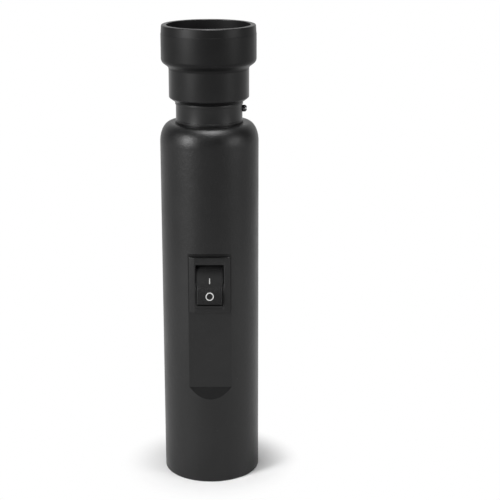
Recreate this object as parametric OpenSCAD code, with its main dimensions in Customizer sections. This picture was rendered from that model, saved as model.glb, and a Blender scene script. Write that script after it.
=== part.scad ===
// Egg candling lamp: a round handle with a rocker switch, a neck with the light unit and a soft egg cup.
// Millimetres, +Z up. The origin is the middle of the foot, and the switch faces -Y.

/* [Handle tube] */
// Outer diameter of the handle
body_d = 36; // [32:0.5:44]
// Wall of the handle
body_wall = 2; // [1.6:0.1:2.6]
// Straight height of the handle, from the foot to the start of the shoulder
body_straight_h = 128.25; // [118:0.05:150]
// Width of the round shoulder, inwards from the side of the handle
shoulder_w = 4; // [3:0.1:5.5]
// Height of the round shoulder
shoulder_h = 7; // [5:0.1:9]
// Rounding of the foot's outer edge
foot_round = 0.5; // [0.2:0.1:1]

/* [Switch flat] */
// Depth of the sunk flat at the front, measured from the round surface
flat_depth = 1.83; // [1.4:0.01:2.2]
// Wall behind the flat
panel_t = 2; // [1.6:0.1:2.4]
// Height of the switch's middle above the foot
switch_z = 78; // [70:0.1:86]
// Bare length of the flat below the switch
bare_flat_h = 29.5; // [20:0.1:32]
// Height over which the lower end of the flat runs out to the round surface
runout_h = 4.4; // [2:0.1:6]

/* [Neck] */
// Outer diameter of the neck tube
neck_d = 24.2; // [22:0.1:27]
// Wall of the neck tube
neck_wall = 2; // [1.6:0.1:2.6]
// Height of the neck that shows between the shoulder and the cup
neck_show_h = 7.55; // [7:0.05:12]
// Height of the neck inside the cup's collar
neck_grip_h = 12.7; // [11:0.1:16]
// Thickness of the lip over the window
neck_lip_t = 0.9; // [0.6:0.1:1.5]
// Width of the lip over the window
neck_lip_w = 0.8; // [0.5:0.1:1.2]
// Height of the neck screw above the shoulder
neck_screw_rise = 4.85; // [3:0.05:4.9]
// Diameter of the neck screw's head
neck_screw_head_d = 2.5; // [2:0.1:3]
// Diameter of the neck screw's thread
neck_screw_d = 1.9; // [1.4:0.1:2]

/* [Egg cup] */
// Outer diameter of the cup
cup_d = 34.5; // [32:0.1:40]
// Wall of the cup's upper part
cup_wall = 2.25; // [1.8:0.05:3]
// Height of the whole cup
cup_h = 27.8; // [25:0.1:34]
// Wall of the collar that grips the neck
collar_wall = 2.35; // [1.6:0.05:3]
// Height of the collar, up to the heel
collar_h = 13; // [12.2:0.1:14]
// Height of the bevel at the collar's lower edge
collar_bevel_h = 1.6; // [1:0.1:3]
// Radius of the cup's rounded heel
cup_heel_r = 3; // [2:0.1:4]
// Thickness of the cup's inner ledge, which sits on the neck
cup_ledge_t = 2.6; // [1.5:0.1:3.5]
// Width of the inner ledge
cup_ledge_w = 1.9; // [1:0.1:2.4]

/* [Light unit] */
// Thickness of the window
lens_t = 1.6; // [1:0.1:2.4]
// Thickness of the seal ring under the window
seal_t = 1; // [0.6:0.1:1.6]
// Height of the reflector
reflector_h = 5.6; // [5:0.1:7]
// Radius of the reflector's lower opening
reflector_foot_r = 3.4; // [3:0.1:3.8]
// Thickness of the board
board_t = 1.6; // [1:0.1:2]
// Height of the heat sink
sink_h = 11; // [10:0.1:14]
// Diameter of the wire hole through the heat sink
sink_bore_d = 5.2; // [4.6:0.1:6]
// Diameter of the light source's base
led_base_d = 5.2; // [4:0.1:5.6]
// Diameter of the light source's dome
led_dome_d = 3.4; // [2.4:0.1:3.8]

/* [Rocker switch] */
// Width of the bezel
bezel_w = 15; // [14.4:0.1:15.4]
// Height of the bezel
bezel_h = 21; // [20.4:0.1:22]
// Thickness of the bezel
bezel_t = 1.5; // [1.2:0.1:2]
// Width of the switch box behind the bezel
box_w = 12.8; // [12.6:0.1:13.2]
// Height of the switch box
box_h = 18.8; // [18.4:0.1:19.2]
// Depth of the switch box behind the flat
box_depth = 12; // [11.8:0.1:14]
// Width of the opening for the paddle
window_w = 10; // [9.6:0.1:10.4]
// Height of the opening for the paddle
window_h = 15.4; // [15:0.1:16]
// Angle of the paddle to either side of its middle
rocker_tilt = 12; // [8:0.5:13]
// Angle of the contact strip to either side of its middle
seesaw_tilt = 6; // [4:0.5:7]
// Length of the blades behind the box
blade_out = 6; // [4:0.1:8]

/* [Base] */
// Depth of the base plate inside the foot
cap_inset = 2; // [1.6:0.1:4]
// Thickness of the base plate
cap_t = 2.5; // [2.2:0.1:4]
// Diameter of the screw bosses
boss_d = 5.2; // [4.6:0.1:6]
// Height of the screw bosses
boss_h = 10; // [9:0.1:14]
// Diameter of the base screws
base_screw_d = 2; // [1.6:0.1:2.4]
// Length of the base screws under the head
base_screw_len = 7.7; // [6:0.1:9]

/* [Power socket] */
// Diameter of the threaded barrel
jack_d = 8; // [7.6:0.1:9]
// Diameter of the hole for the plug
jack_bore_d = 5.8; // [5.6:0.1:6.2]
// Depth of the hole for the plug
jack_bore_h = 9.5; // [9:0.1:10]
// Diameter of the centre pin
jack_pin_d = 2.1; // [1.9:0.1:2.5]
// Length of the barrel above its flange
jack_barrel_h = 11; // [10.4:0.1:14]

/* [Wires] */
// Diameter of the insulated wires
wire_d = 1.3; // [1:0.1:1.6]
// Diameter of the resistor
resistor_d = 2.6; // [2:0.1:3.2]
// Length of the resistor
resistor_len = 8; // [6:0.1:9]

/* [Hidden] */
$fn = 96;

// Overrun of every cut
cut = 1;
// Gap of a piece that slides in by hand
slip = 0.1;
// Gap of a pin in its hole
pin_gap = 0.05;

// Handle: radii and levels
body_r = body_d / 2;
body_bore_r = body_r - body_wall;
neck_r = neck_d / 2;
// Share of the shoulder's width that the neck covers, and the level where the two meet
shoulder_share = max(0, neck_r - body_r + shoulder_w) / shoulder_w;
shoulder_z = body_straight_h + shoulder_h * sqrt(1 - pow(shoulder_share, 2));
shoulder_crown_z = body_straight_h + shoulder_h;
shoulder_steps = 14;

// Switch flat: the plane of the flat is the paddle's hinge plane
flat_y = body_r - flat_depth;
flat_top_gap = 1.3;
flat_top_z = switch_z + bezel_h / 2 + flat_top_gap;
flat_low_z = switch_z - bezel_h / 2 - bare_flat_h;
runout_slope = runout_h / flat_depth;
pad_end = 3;

// Neck: levels and rings
neck_bore_r = neck_r - neck_wall;
neck_window_r = neck_bore_r - neck_lip_w;
neck_top_z = shoulder_z + neck_show_h + neck_grip_h;
neck_skirt_h = 2;
neck_foot_h = 1;
neck_foot_w = 0.2;
neck_seat_h = 0.9;
neck_seat_w = 0.25;
neck_screw_z = shoulder_z + neck_screw_rise;
neck_screw_head_h = 1.6;
neck_screw_bite = 4;
neck_screw_slot_w = 0.5;
neck_screw_slot_h = 0.6;

// Egg cup: radii and levels, from its lower edge
cup_z = shoulder_z + neck_show_h;
cup_r = cup_d / 2;
cup_bore_r = neck_r + slip;
collar_r = cup_bore_r + collar_wall;
collar_edge_w = 0.2;
rim_round_share = 0.22;
cup_rim_r = cup_wall * rim_round_share;
cup_mouth_r = cup_r - cup_wall;
cup_ledge_r = cup_bore_r - cup_ledge_w;
cup_floor_z = neck_grip_h + cup_ledge_t;
rim_line_drop = 3;
rim_line_h = 0.15;
rim_line_depth = 0.06;

// Light unit: stacked down from the lip of the neck
unit_r = neck_bore_r - slip;
lens_z = neck_top_z - neck_lip_t - lens_t;
seal_z = lens_z - seal_t;
seal_w = 0.9;
reflector_z = seal_z - reflector_h;
reflector_wall = 0.7;
reflector_rim_t = 0.8;
reflector_mouth_r = neck_window_r - reflector_wall;
reflector_steps = 8;
board_z = reflector_z - board_t;
board_r = unit_r - slip;
sink_z = board_z - sink_h;
fin_count = 2;
fin_pitch = 2;
fin_groove_w = 1;
fin_groove_depth = 2;
led_base_h = 0.8;
board_screw_d = 1.8;
board_screw_head_d = 2.8;
board_screw_head_h = 1.1;
board_screw_bite = 4;
board_screw_edge = 0.9;
board_screw_ring = board_r - board_screw_head_d / 2 - board_screw_edge;
pad_spread = 1.15;

// Rocker switch: v runs up and w runs out of the flat, both from the hinge
bezel_bevel = 0.5;
box_floor_t = 1.4;
box_gap = 0.1;
barb_w = 0.5;
barb_h = 3;
barb_len = 6;
rocker_gap = 0.15;
rocker_r = window_h / 2 - rocker_gap;
rocker_w = window_w - 2 * rocker_gap;
rocker_pressed_angle = 7;
rocker_back = 2.2;
rocker_mid_w = rocker_r * sin(rocker_pressed_angle) / cos(rocker_tilt);
rocker_far_w = rocker_mid_w + rocker_r * tan(rocker_tilt);
trunnion_d = 1.8;
trunnion_len = 1;
stem_d = 4;
stem_end = 4.4;
plunger_d = 2.4;
plunger_tip = 6.85;
plunger_back = 3.2;
spring_wire_d = 0.3;
spring_turns = 5;
spring_gap = 0.1;
spring_sides = 6;
spring_steps = 8;
mark_t = 0.08;
mark_i_h = 2.15;
mark_i_w = 0.36;
mark_i_v = 1.3;
mark_o_d = 3;
mark_o_w = 0.36;
mark_o_v = 4.4;

// Contact strip and blades of the switch
seesaw_axis_w = 8;
seesaw_t = 0.5;
seesaw_w = 4.6;
seesaw_len = 11;
seesaw_gap = 0.1;
blade_t = 0.8;
blade_w = 4.8;
contact_v = 4.6;
contact_d = 1.8;
contact_h = 0.4;
contact_gap = 0.1;
load_tip_w = seesaw_axis_w - (blade_t / 2 + seesaw_gap - contact_h) * cos(seesaw_tilt)
    + (contact_v + contact_d / 2) * sin(seesaw_tilt) + contact_gap;
blade_end_w = box_depth + blade_out;

// Base plate and its screws
cap_r = body_bore_r - slip;
boss_bite = 0.4;
boss_ring = body_bore_r - boss_d / 2 + boss_bite;
boss_first = 90;
boss_count = 3;
boss_z = cap_inset + cap_t;
boss_hole_h = boss_h - slip;
base_screw_head_d = 4;
base_screw_head_h = 1.2;
base_screw_slot_w = 0.6;
base_screw_slot_h = 0.6;
base_screw_hole_gap = 0.2;

// Power socket
jack_flange_d = 11;
jack_flange_t = 1.2;
jack_flange_z = cap_inset - jack_flange_t;
jack_top_z = cap_inset + jack_barrel_h;
jack_pin_inset = 1;
jack_tail_d = 1.4;
jack_tail_h = 4;
jack_leaf_w = 1.6;
jack_leaf_t = 0.4;
jack_leaf_in = 0.2;
jack_leaf_low = 3;
jack_leaf_y = jack_bore_d / 2 - jack_leaf_in - jack_leaf_t;
washer_d = 12;
washer_t = 0.5;
nut_flats = 11;
nut_t = 2.2;

// Wires: sides and rings of each tube, directions of their ends, and where the resistor hangs
upward = [0, 0, 1];
backward = [0, 1, 0];
wire_sides = 8;
wire_rings = 22;
resistor_x_share = -0.375;
resistor_y_share = 0.31;
resistor_at = [resistor_x_share * body_bore_r, resistor_y_share * body_bore_r];
resistor_rise_share = 0.36;
resistor_z = switch_z + (sink_z - switch_z) * resistor_rise_share;
sleeve_gap = 0.1;
sleeve_wall = 0.4;
sleeve_over = 1.5;
solder_gap = 0.02;
blade_tip_y = blade_end_w - flat_y;
supply_lead_share = 0.36;
supply_bow_share = 0.75;
switched_bow_share = 0.5;
switched_lead_share = 0.3;
switched_near_share = 0.1;
return_bow_share = 1.1;
return_low_share = 0.33;
return_high_share = 0.6;

// Colours of the pieces
black_plastic = [0.16, 0.16, 0.17];
black_rubber = [0.11, 0.11, 0.12];
switch_black = [0.09, 0.09, 0.10];
print_white = [0.86, 0.86, 0.84];
steel_grey = [0.62, 0.63, 0.65];
brass_gold = [0.80, 0.66, 0.32];
aluminium_grey = [0.78, 0.79, 0.80];

// A turned bar's half outline, from the axis to radius r, with its two outer corners rounded
module bar_outline(r, z0, z1, low_round, top_round) {
    translate([0, z0 + low_round]) square([r, z1 - top_round - z0 - low_round]);
    if (low_round > 0) {
        translate([0, z0]) square([r - low_round, low_round]);
        intersection() {
            translate([r - low_round, z0 + low_round]) circle(low_round);
            translate([r - low_round, z0]) square([low_round, low_round]);
        }
    }
    if (top_round > 0) {
        translate([0, z1 - top_round]) square([r - top_round, top_round]);
        intersection() {
            translate([r - top_round, z1 - top_round]) circle(top_round);
            translate([r - top_round, z1 - top_round]) square([top_round, top_round]);
        }
    }
}

// A ring between two radii, standing on z
module ring(r_out, r_in, z, h) {
    translate([0, 0, z]) difference() {
        cylinder(r = r_out, h = h);
        translate([0, 0, -cut]) cylinder(r = r_in, h = h + 2 * cut);
    }
}

// A round bar along +X from x0 to x1, at height z
module bar_x(r, x0, x1, z) {
    translate([x0, 0, z]) rotate([0, 90, 0]) cylinder(r = r, h = x1 - x0);
}

// Copies of the children on the screw ring of the base
module on_bosses() {
    for (i = [0 : boss_count - 1])
        rotate([0, 0, boss_first + i * 360 / boss_count]) translate([boss_ring, 0, 0]) children();
}

// Copies of the children over the two board screws
module on_board_screws() {
    for (side = [-1, 1]) translate([0, side * board_screw_ring, 0]) children();
}

// Moves children drawn in the switch's own axes (x, v up as y, w out as z) to their place in the lamp
module in_switch() {
    translate([0, -flat_y, switch_z]) rotate([90, 0, 0]) children();
}

// An upright block in the switch's axes, centred on x and v, between two values of w
module switch_block(w, h, w0, w1) {
    translate([-w / 2, -h / 2, w0]) cube([w, h, w1 - w0]);
}

// Half of the outline of a bar from z0 up, straight to z1 and closed by a shoulder of elliptic section
module dome_outline(r, z0, z1, w, h) {
    turns = [for (i = [0 : shoulder_steps]) 90 * i / shoulder_steps];
    polygon(concat(
        [[0, z0], [r, z0]], [for (a = turns) [r - w + w * cos(a), z1 + h * sin(a)]], [[0, z1 + h]]
    ));
}

// Points on a cubic curve from a to d, led by b and c
function curve_point(a, b, c, d, t) =
    pow(1 - t, 3) * a + 3 * t * pow(1 - t, 2) * b + 3 * t * t * (1 - t) * c + t * t * t * d;
function unit(v) = v / norm(v);
function heading(path, i) = unit(path[min(i + 1, len(path) - 1)] - path[max(i - 1, 0)]);

// A round tube along a path: rings of points, closed at both ends
module tube_along(path, r, sides, first, last) {
    count = len(path);
    directions = [for (i = [0 : count - 1]) i == 0 ? first : i == count - 1 ? last : heading(path, i)];
    points = [for (i = [0 : count - 1])
        let (d = directions[i],
             side = unit(cross(d, abs(d.x) < 0.8 ? [1, 0, 0] : [0, 1, 0])),
             up = cross(d, side))
        for (k = [0 : sides - 1])
            path[i] + r * (cos(360 * k / sides) * side + sin(360 * k / sides) * up)];
    walls = [for (i = [0 : count - 2], k = [0 : sides - 1])
        let (a = i * sides + k, b = i * sides + (k + 1) % sides)
        each [[a, b, a + sides], [b, b + sides, a + sides]]];
    ends = [[for (k = [sides - 1 : -1 : 0]) k], [for (k = [0 : sides - 1]) (count - 1) * sides + k]];
    polyhedron(points = points, faces = concat(walls, ends));
}

// A wire that leaves a towards b and reaches d from c, with end faces square to first and last
module wire(a, b, c, d, first, last) {
    path = [for (i = [0 : wire_rings]) curve_point(a, b, c, d, i / wire_rings)];
    tube_along(path, wire_d / 2, wire_sides, first, last);
}

// Handle tube with its shoulder, the sunk flat, the switch opening and the three bosses
module body_shell() {
    color(black_plastic) difference() {
        union() {
            rotate_extrude() difference() {
                union() {
                    bar_outline(body_r, 0, body_straight_h, foot_round, 0);
                    dome_outline(body_r, foot_round, body_straight_h, shoulder_w, shoulder_h);
                }
                dome_outline(body_bore_r, -cut, body_straight_h,
                    shoulder_w - body_wall, shoulder_h - body_wall);
                square([neck_r + slip, shoulder_crown_z + cut]);
            }
            flat_backing();
            intersection() {
                on_bosses() translate([0, 0, boss_z]) cylinder(d = boss_d, h = boss_h);
                cylinder(r = body_bore_r + boss_bite, h = shoulder_z);
            }
        }
        flat_cut();
        in_switch() switch_block(box_w + 2 * box_gap, box_h + 2 * box_gap, -panel_t - cut, flat_depth);
        on_bosses() translate([0, 0, boss_z - cut])
            cylinder(d = base_screw_d + 2 * pin_gap, h = boss_hole_h + cut);
    }
}

// Thick place of the wall behind the flat
module flat_backing() {
    intersection() {
        cylinder(r = body_bore_r + body_wall / 2, h = shoulder_z);
        translate([-body_r, -body_r, flat_low_z - runout_h])
            cube([body_d, body_r - flat_y + panel_t, flat_top_z + pad_end - flat_low_z + runout_h]);
    }
}

// What the flat takes off the handle: square at the top, running out at the bottom
module flat_cut() {
    out_y = body_r + cut;
    translate([-body_r, 0, 0]) rotate([90, 0, 90]) linear_extrude(height = body_d)
        polygon([
            [-flat_y, flat_top_z], [-flat_y, flat_low_z],
            [-out_y, flat_low_z - (out_y - flat_y) * runout_slope], [-out_y, flat_top_z]
        ]);
}

// Neck tube: flange under the shoulder, foot ring, seat ring for the cup and lip over the window
module neck_tube() {
    color(black_plastic) difference() {
        rotate_extrude() difference() {
            union() {
                square([neck_r, neck_top_z]);
                dome_outline(body_bore_r - slip, body_straight_h - neck_skirt_h, body_straight_h,
                    shoulder_w - body_wall - slip, shoulder_h - body_wall - slip);
                translate([0, shoulder_z]) square([neck_r + neck_foot_w, neck_foot_h]);
                translate([0, cup_z - neck_seat_h]) square([neck_r + neck_seat_w, neck_seat_h]);
            }
            square([body_r, body_straight_h - neck_skirt_h]);
            square([neck_bore_r, neck_top_z - neck_lip_t]);
            square([neck_window_r, neck_top_z + cut]);
        }
        bar_x(neck_screw_d / 2 + pin_gap, 0, body_r, neck_screw_z);
    }
}

// Slotted screw through the side of the neck into the heat sink
module neck_screw() {
    head_end = neck_r + neck_screw_head_h;
    color(steel_grey) difference() {
        union() {
            bar_x(neck_screw_d / 2, unit_r - neck_screw_bite, neck_r, neck_screw_z);
            bar_x(neck_screw_head_d / 2, neck_r, head_end, neck_screw_z);
        }
        translate([head_end - neck_screw_slot_h, -neck_screw_head_d, neck_screw_z - neck_screw_slot_w / 2])
            cube([neck_screw_slot_h + cut, 2 * neck_screw_head_d, neck_screw_slot_w]);
    }
}

// Soft cup: bevelled collar, rounded heel, wall with its rim rounded outside, ledge on the neck
module egg_cup() {
    color(black_rubber) translate([0, 0, cup_z]) rotate_extrude() difference() {
        union() {
            polygon([
                [0, 0], [cup_bore_r + collar_edge_w, 0], [collar_r, collar_bevel_h],
                [collar_r, collar_h + cup_heel_r], [0, collar_h + cup_heel_r]
            ]);
            bar_outline(cup_r, collar_h, cup_h, cup_heel_r, cup_rim_r);
        }
        square([cup_bore_r, neck_grip_h]);
        square([cup_ledge_r, cup_h]);
        translate([0, cup_floor_z]) square([cup_mouth_r, cup_h - cup_floor_z + cut]);
        translate([cup_r - rim_line_depth, cup_h - rim_line_drop]) square([cut, rim_line_h]);
    }
}

// Clear window under the lip of the neck
module lens() {
    color([0.85, 0.90, 0.95, 0.5]) translate([0, 0, lens_z]) cylinder(r = unit_r, h = lens_t);
}

// Soft ring between the window and the reflector
module lens_seal() {
    color(black_rubber) ring(unit_r, unit_r - seal_w, seal_z, seal_t);
}

// Bright bowl: a parabola of revolution with a rim that carries the seal
module reflector() {
    rise = reflector_h - reflector_rim_t;
    span = reflector_mouth_r - reflector_foot_r;
    inner = [for (i = [0 : reflector_steps])
        let (share = i / reflector_steps, r = reflector_foot_r + span * share)
        [r, rise * share * (r + reflector_foot_r) / (reflector_mouth_r + reflector_foot_r)]];
    outer = [for (i = [reflector_steps : -1 : 0]) inner[i] + [reflector_wall, 0]];
    color(aluminium_grey) translate([0, 0, reflector_z]) {
        rotate_extrude() polygon(concat(inner, outer));
        ring(unit_r, reflector_mouth_r, rise, reflector_rim_t);
    }
}

// Clear dome of the light source
module led_dome() {
    color([0.95, 0.88, 0.45]) translate([0, 0, reflector_z + led_base_h]) intersection() {
        sphere(d = led_dome_d);
        cylinder(d = led_dome_d + cut, h = led_dome_d);
    }
}

// Base of the light source, soldered to the board
module led_package() {
    color([0.92, 0.92, 0.90]) translate([0, 0, reflector_z]) cylinder(d = led_base_d, h = led_base_h);
}

// Round board, drilled for its two screws
module led_board() {
    color([0.90, 0.90, 0.88]) difference() {
        translate([0, 0, board_z]) cylinder(r = board_r, h = board_t);
        on_board_screws() translate([0, 0, board_z - cut])
            cylinder(d = board_screw_d + 2 * pin_gap, h = board_t + 2 * cut);
    }
}

// Two screws that hold the board on the heat sink
module board_screws() {
    color(steel_grey) on_board_screws() {
        translate([0, 0, board_z + board_t]) cylinder(d = board_screw_head_d, h = board_screw_head_h);
        translate([0, 0, board_z - board_screw_bite])
            cylinder(d = board_screw_d, h = board_screw_bite + board_t);
    }
}

// Turned slug with grooves, drilled for the wires and the screws
module heat_sink() {
    color(aluminium_grey) difference() {
        translate([0, 0, sink_z]) cylinder(r = unit_r, h = sink_h);
        translate([0, 0, sink_z - cut]) cylinder(d = sink_bore_d, h = sink_h + 2 * cut);
        for (i = [1 : fin_count])
            ring(unit_r + cut, unit_r - fin_groove_depth,
                sink_z + i * fin_pitch - fin_groove_w, fin_groove_w);
        bar_x(neck_screw_d / 2 + pin_gap, unit_r - neck_screw_bite - slip, body_r, neck_screw_z);
        on_board_screws() translate([0, 0, board_z - board_screw_bite - slip])
            cylinder(d = board_screw_d + 2 * pin_gap, h = board_screw_bite + slip + cut);
    }
}

// Bezel with a bevelled edge, and the box behind it with its barbs, hinge holes and blade slots
module switch_housing() {
    color(switch_black) in_switch() difference() {
        union() {
            switch_block(bezel_w, bezel_h, 0, bezel_t - bezel_bevel);
            bezel_face();
            switch_block(box_w, box_h, -box_depth, bezel_t - bezel_bevel);
            for (side = [-1, 1]) scale([1, side, 1]) barb();
        }
        switch_block(window_w, window_h, -box_depth + box_floor_t, bezel_t + cut);
        rotate([0, 90, 0])
            cylinder(d = trunnion_d + 2 * pin_gap, h = window_w + 2 * trunnion_len, center = true);
        for (v = [0, -contact_v]) translate([0, v, 0])
            switch_block(blade_w + 2 * pin_gap, blade_t + 2 * pin_gap,
                -box_depth - cut, -box_depth + box_floor_t + cut);
    }
}

// Bevelled front of the bezel: two wedges crossed
module bezel_face() {
    translate([0, 0, bezel_t - bezel_bevel]) intersection() {
        translate([0, bezel_h / 2, 0]) rotate([90, 0, 0]) bevelled_bar(bezel_w, bezel_h);
        translate([-bezel_w / 2, 0, 0]) rotate([90, 0, 90]) bevelled_bar(bezel_h, bezel_w);
    }
}

// A low bar of trapezium section, w wide at its foot and len long
module bevelled_bar(w, len) {
    linear_extrude(height = len) polygon([
        [-w / 2, 0], [w / 2, 0], [w / 2 - bezel_bevel, bezel_bevel], [-w / 2 + bezel_bevel, bezel_bevel]
    ]);
}

// Snap barb behind the panel, on the upper side of the box
module barb() {
    low = -panel_t - slip;
    translate([-barb_len / 2, box_h / 2, 0]) rotate([90, 0, 90]) linear_extrude(height = barb_len)
        polygon([[0, low], [barb_w, low], [0, low - barb_h]]);
}

// Turns children from the paddle's middle position to its rest, with the upper end pressed in
module at_rocker_rest() {
    in_switch() rotate([-rocker_tilt, 0, 0]) children();
}

// Paddle: two flat faces that meet in the middle, round ends, hinge pins and the stem for the plunger
module rocker() {
    color(switch_black) at_rocker_rest() difference() {
        union() {
            translate([-rocker_w / 2, 0, 0]) rotate([90, 0, 90])
                linear_extrude(height = rocker_w) intersection() {
                    circle(rocker_r);
                    polygon([
                        [-rocker_r, rocker_far_w], [0, rocker_mid_w], [rocker_r, rocker_far_w],
                        [rocker_r, -rocker_back], [-rocker_r, -rocker_back]
                    ]);
                }
            rotate([0, 90, 0]) cylinder(d = trunnion_d, h = rocker_w + 2 * trunnion_len, center = true);
            translate([0, 0, -stem_end]) cylinder(d = stem_d, h = stem_end - rocker_back);
        }
        translate([0, 0, -stem_end - cut]) cylinder(d = plunger_d + 2 * pin_gap, h = stem_end + cut);
    }
}

// Printed bar on the upper face of the paddle and ring on the lower face
module rocker_marks() {
    color(print_white) at_rocker_rest() translate([0, 0, rocker_mid_w]) {
        rotate([rocker_tilt, 0, 0]) translate([-mark_i_w / 2, mark_i_v - mark_i_h / 2, 0])
            cube([mark_i_w, mark_i_h, mark_t]);
        rotate([-rocker_tilt, 0, 0]) translate([0, -mark_o_v, 0])
            ring(mark_o_d / 2, mark_o_d / 2 - mark_o_w, 0, mark_t);
    }
}

// Round-ended pin in the stem
module switch_plunger() {
    tip_z = -plunger_tip + plunger_d / 2;
    color(brass_gold) at_rocker_rest() {
        translate([0, 0, tip_z]) cylinder(d = plunger_d, h = -plunger_back - tip_z);
        translate([0, 0, tip_z]) sphere(d = plunger_d);
    }
}

// Coil spring between the bottom of the stem's hole and the pin
module plunger_spring() {
    coil_r = plunger_d / 2 - spring_wire_d / 2 - spring_gap;
    low = -plunger_back + spring_wire_d / 2 + spring_gap;
    high = -spring_wire_d / 2 - spring_gap;
    count = spring_turns * spring_steps;
    path = [for (i = [0 : count])
        let (turn = 360 * i / spring_steps)
        [coil_r * cos(turn), coil_r * sin(turn), low + (high - low) * i / count]];
    color(steel_grey) at_rocker_rest()
        tube_along(path, spring_wire_d / 2, spring_sides, [0, 1, 0], [0, 1, 0]);
}

// Contact strip that rocks on the centre blade, with its contact rivet
module contact_seesaw() {
    under = blade_t / 2 + seesaw_gap;
    color(brass_gold) in_switch() translate([0, 0, -seesaw_axis_w]) rotate([seesaw_tilt, 0, 0]) {
        switch_block(seesaw_w, seesaw_len, under, under + seesaw_t);
        translate([0, -contact_v, under - contact_h]) cylinder(d = contact_d, h = contact_h);
    }
}

// Centre blade with a round inner end that carries the strip
module common_terminal() {
    color(brass_gold) in_switch() {
        switch_block(blade_w, blade_t, -blade_end_w, -seesaw_axis_w);
        translate([0, 0, -seesaw_axis_w]) rotate([0, 90, 0])
            cylinder(d = blade_t, h = blade_w, center = true);
    }
}

// Outer blade with the fixed contact
module load_terminal() {
    color(brass_gold) in_switch() translate([0, -contact_v, 0]) {
        switch_block(blade_w, blade_t, -blade_end_w, -load_tip_w - contact_h);
        translate([0, 0, -load_tip_w - contact_h]) cylinder(d = contact_d, h = contact_h);
    }
}

// Round plate in the foot, with sunk screw holes and the hole for the socket
module base_cap() {
    sunk_h = base_screw_head_h + slip;
    color(black_plastic) difference() {
        translate([0, 0, cap_inset]) cylinder(r = cap_r, h = cap_t);
        translate([0, 0, cap_inset - cut]) cylinder(d = jack_d + 2 * pin_gap, h = cap_t + 2 * cut);
        on_bosses() translate([0, 0, cap_inset - cut]) {
            cylinder(d = base_screw_head_d + 2 * base_screw_hole_gap, h = sunk_h + cut);
            cylinder(d = base_screw_d + 2 * base_screw_hole_gap, h = cap_t + 2 * cut);
        }
    }
}

// Three slotted screws of the base plate
module base_screws() {
    head_z = cap_inset + slip;
    color(steel_grey) on_bosses() difference() {
        union() {
            translate([0, 0, head_z]) cylinder(d = base_screw_head_d, h = base_screw_head_h);
            translate([0, 0, head_z]) cylinder(d = base_screw_d, h = base_screw_head_h + base_screw_len);
        }
        translate([-base_screw_head_d, -base_screw_slot_w / 2, head_z - cut])
            cube([2 * base_screw_head_d, base_screw_slot_w, base_screw_slot_h + cut]);
    }
}

// Power socket: flange under the plate, threaded barrel, hole for the plug, openings for its two contacts
module jack_socket() {
    color(switch_black) difference() {
        union() {
            translate([0, 0, jack_flange_z]) cylinder(d = jack_flange_d, h = jack_flange_t);
            translate([0, 0, jack_flange_z]) cylinder(d = jack_d, h = jack_top_z - jack_flange_z);
        }
        translate([0, 0, jack_flange_z - cut]) cylinder(d = jack_bore_d, h = jack_bore_h + cut);
        translate([0, 0, jack_flange_z]) cylinder(d = jack_pin_d + 2 * pin_gap, h = jack_top_z);
        translate([-jack_leaf_w / 2 - pin_gap, jack_leaf_y - pin_gap, jack_flange_z + jack_bore_h - cut])
            cube([jack_leaf_w + 2 * pin_gap, jack_leaf_t + 2 * pin_gap, jack_top_z]);
    }
}

// Flat washer under the nut
module jack_washer() {
    color(steel_grey) ring(washer_d / 2, jack_d / 2 + pin_gap, boss_z, washer_t);
}

// Six-sided nut on the barrel
module jack_nut() {
    color(steel_grey) translate([0, 0, boss_z + washer_t]) difference() {
        cylinder(d = nut_flats / cos(30), h = nut_t, $fn = 6);
        translate([0, 0, -cut]) cylinder(d = jack_d + 2 * pin_gap, h = nut_t + 2 * cut);
    }
}

// Centre contact with its solder tail
module jack_pin() {
    low = jack_flange_z + jack_pin_inset;
    color(steel_grey) {
        translate([0, 0, low]) cylinder(d = jack_pin_d, h = jack_top_z - low);
        translate([0, 0, jack_top_z]) cylinder(d = jack_tail_d, h = jack_tail_h);
    }
}

// Leaf contact along the wall of the hole, with its tail
module jack_contact() {
    low = jack_flange_z + jack_leaf_low;
    color(brass_gold) translate([-jack_leaf_w / 2, jack_leaf_y, low])
        cube([jack_leaf_w, jack_leaf_t, jack_top_z + jack_tail_h - low]);
}

// Wire from the socket's centre pin to the middle blade of the switch
module supply_wire() {
    start = [0, 0, jack_top_z + jack_tail_h + solder_gap];
    end = [0, blade_tip_y + solder_gap, switch_z];
    color("firebrick") wire(start, start + [0, 0, switch_z * supply_lead_share],
        end + [0, body_bore_r * supply_bow_share, 0], end, upward, -backward);
}

// Two lengths of wire: switch to resistor, and resistor to the board's underside
module switched_wires() {
    blade = [0, blade_tip_y + solder_gap, switch_z - contact_v];
    low = [resistor_at.x, resistor_at.y, resistor_z - solder_gap];
    high = [resistor_at.x, resistor_at.y, resistor_z + resistor_len + solder_gap];
    pad = [-pad_spread, 0, board_z - solder_gap];
    bow = body_bore_r * switched_bow_share;
    rise = sink_z - high.z;
    color("firebrick") {
        wire(blade, blade + [-bow, bow, 0], low - [0, 0, resistor_len], low, backward, upward);
        wire(high, high + [0, 0, rise * switched_lead_share],
            [pad.x, pad.y, high.z + rise * switched_near_share], pad, upward, upward);
    }
}

// Wire from the board's underside back to the socket's leaf contact
module return_wire() {
    start = [0, jack_leaf_y + jack_leaf_t / 2, jack_top_z + jack_tail_h + solder_gap];
    pad = [pad_spread, 0, board_z - solder_gap];
    bow = body_bore_r * return_bow_share;
    color("dimgray") wire(start, [bow, start.y, start.z + (pad.z - start.z) * return_low_share],
        [pad.x, pad.y, start.z + (pad.z - start.z) * return_high_share], pad, upward, upward);
}

// Resistor in the switched line
module resistor() {
    color("tan") translate([resistor_at.x, resistor_at.y, resistor_z])
        cylinder(d = resistor_d, h = resistor_len);
}

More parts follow.
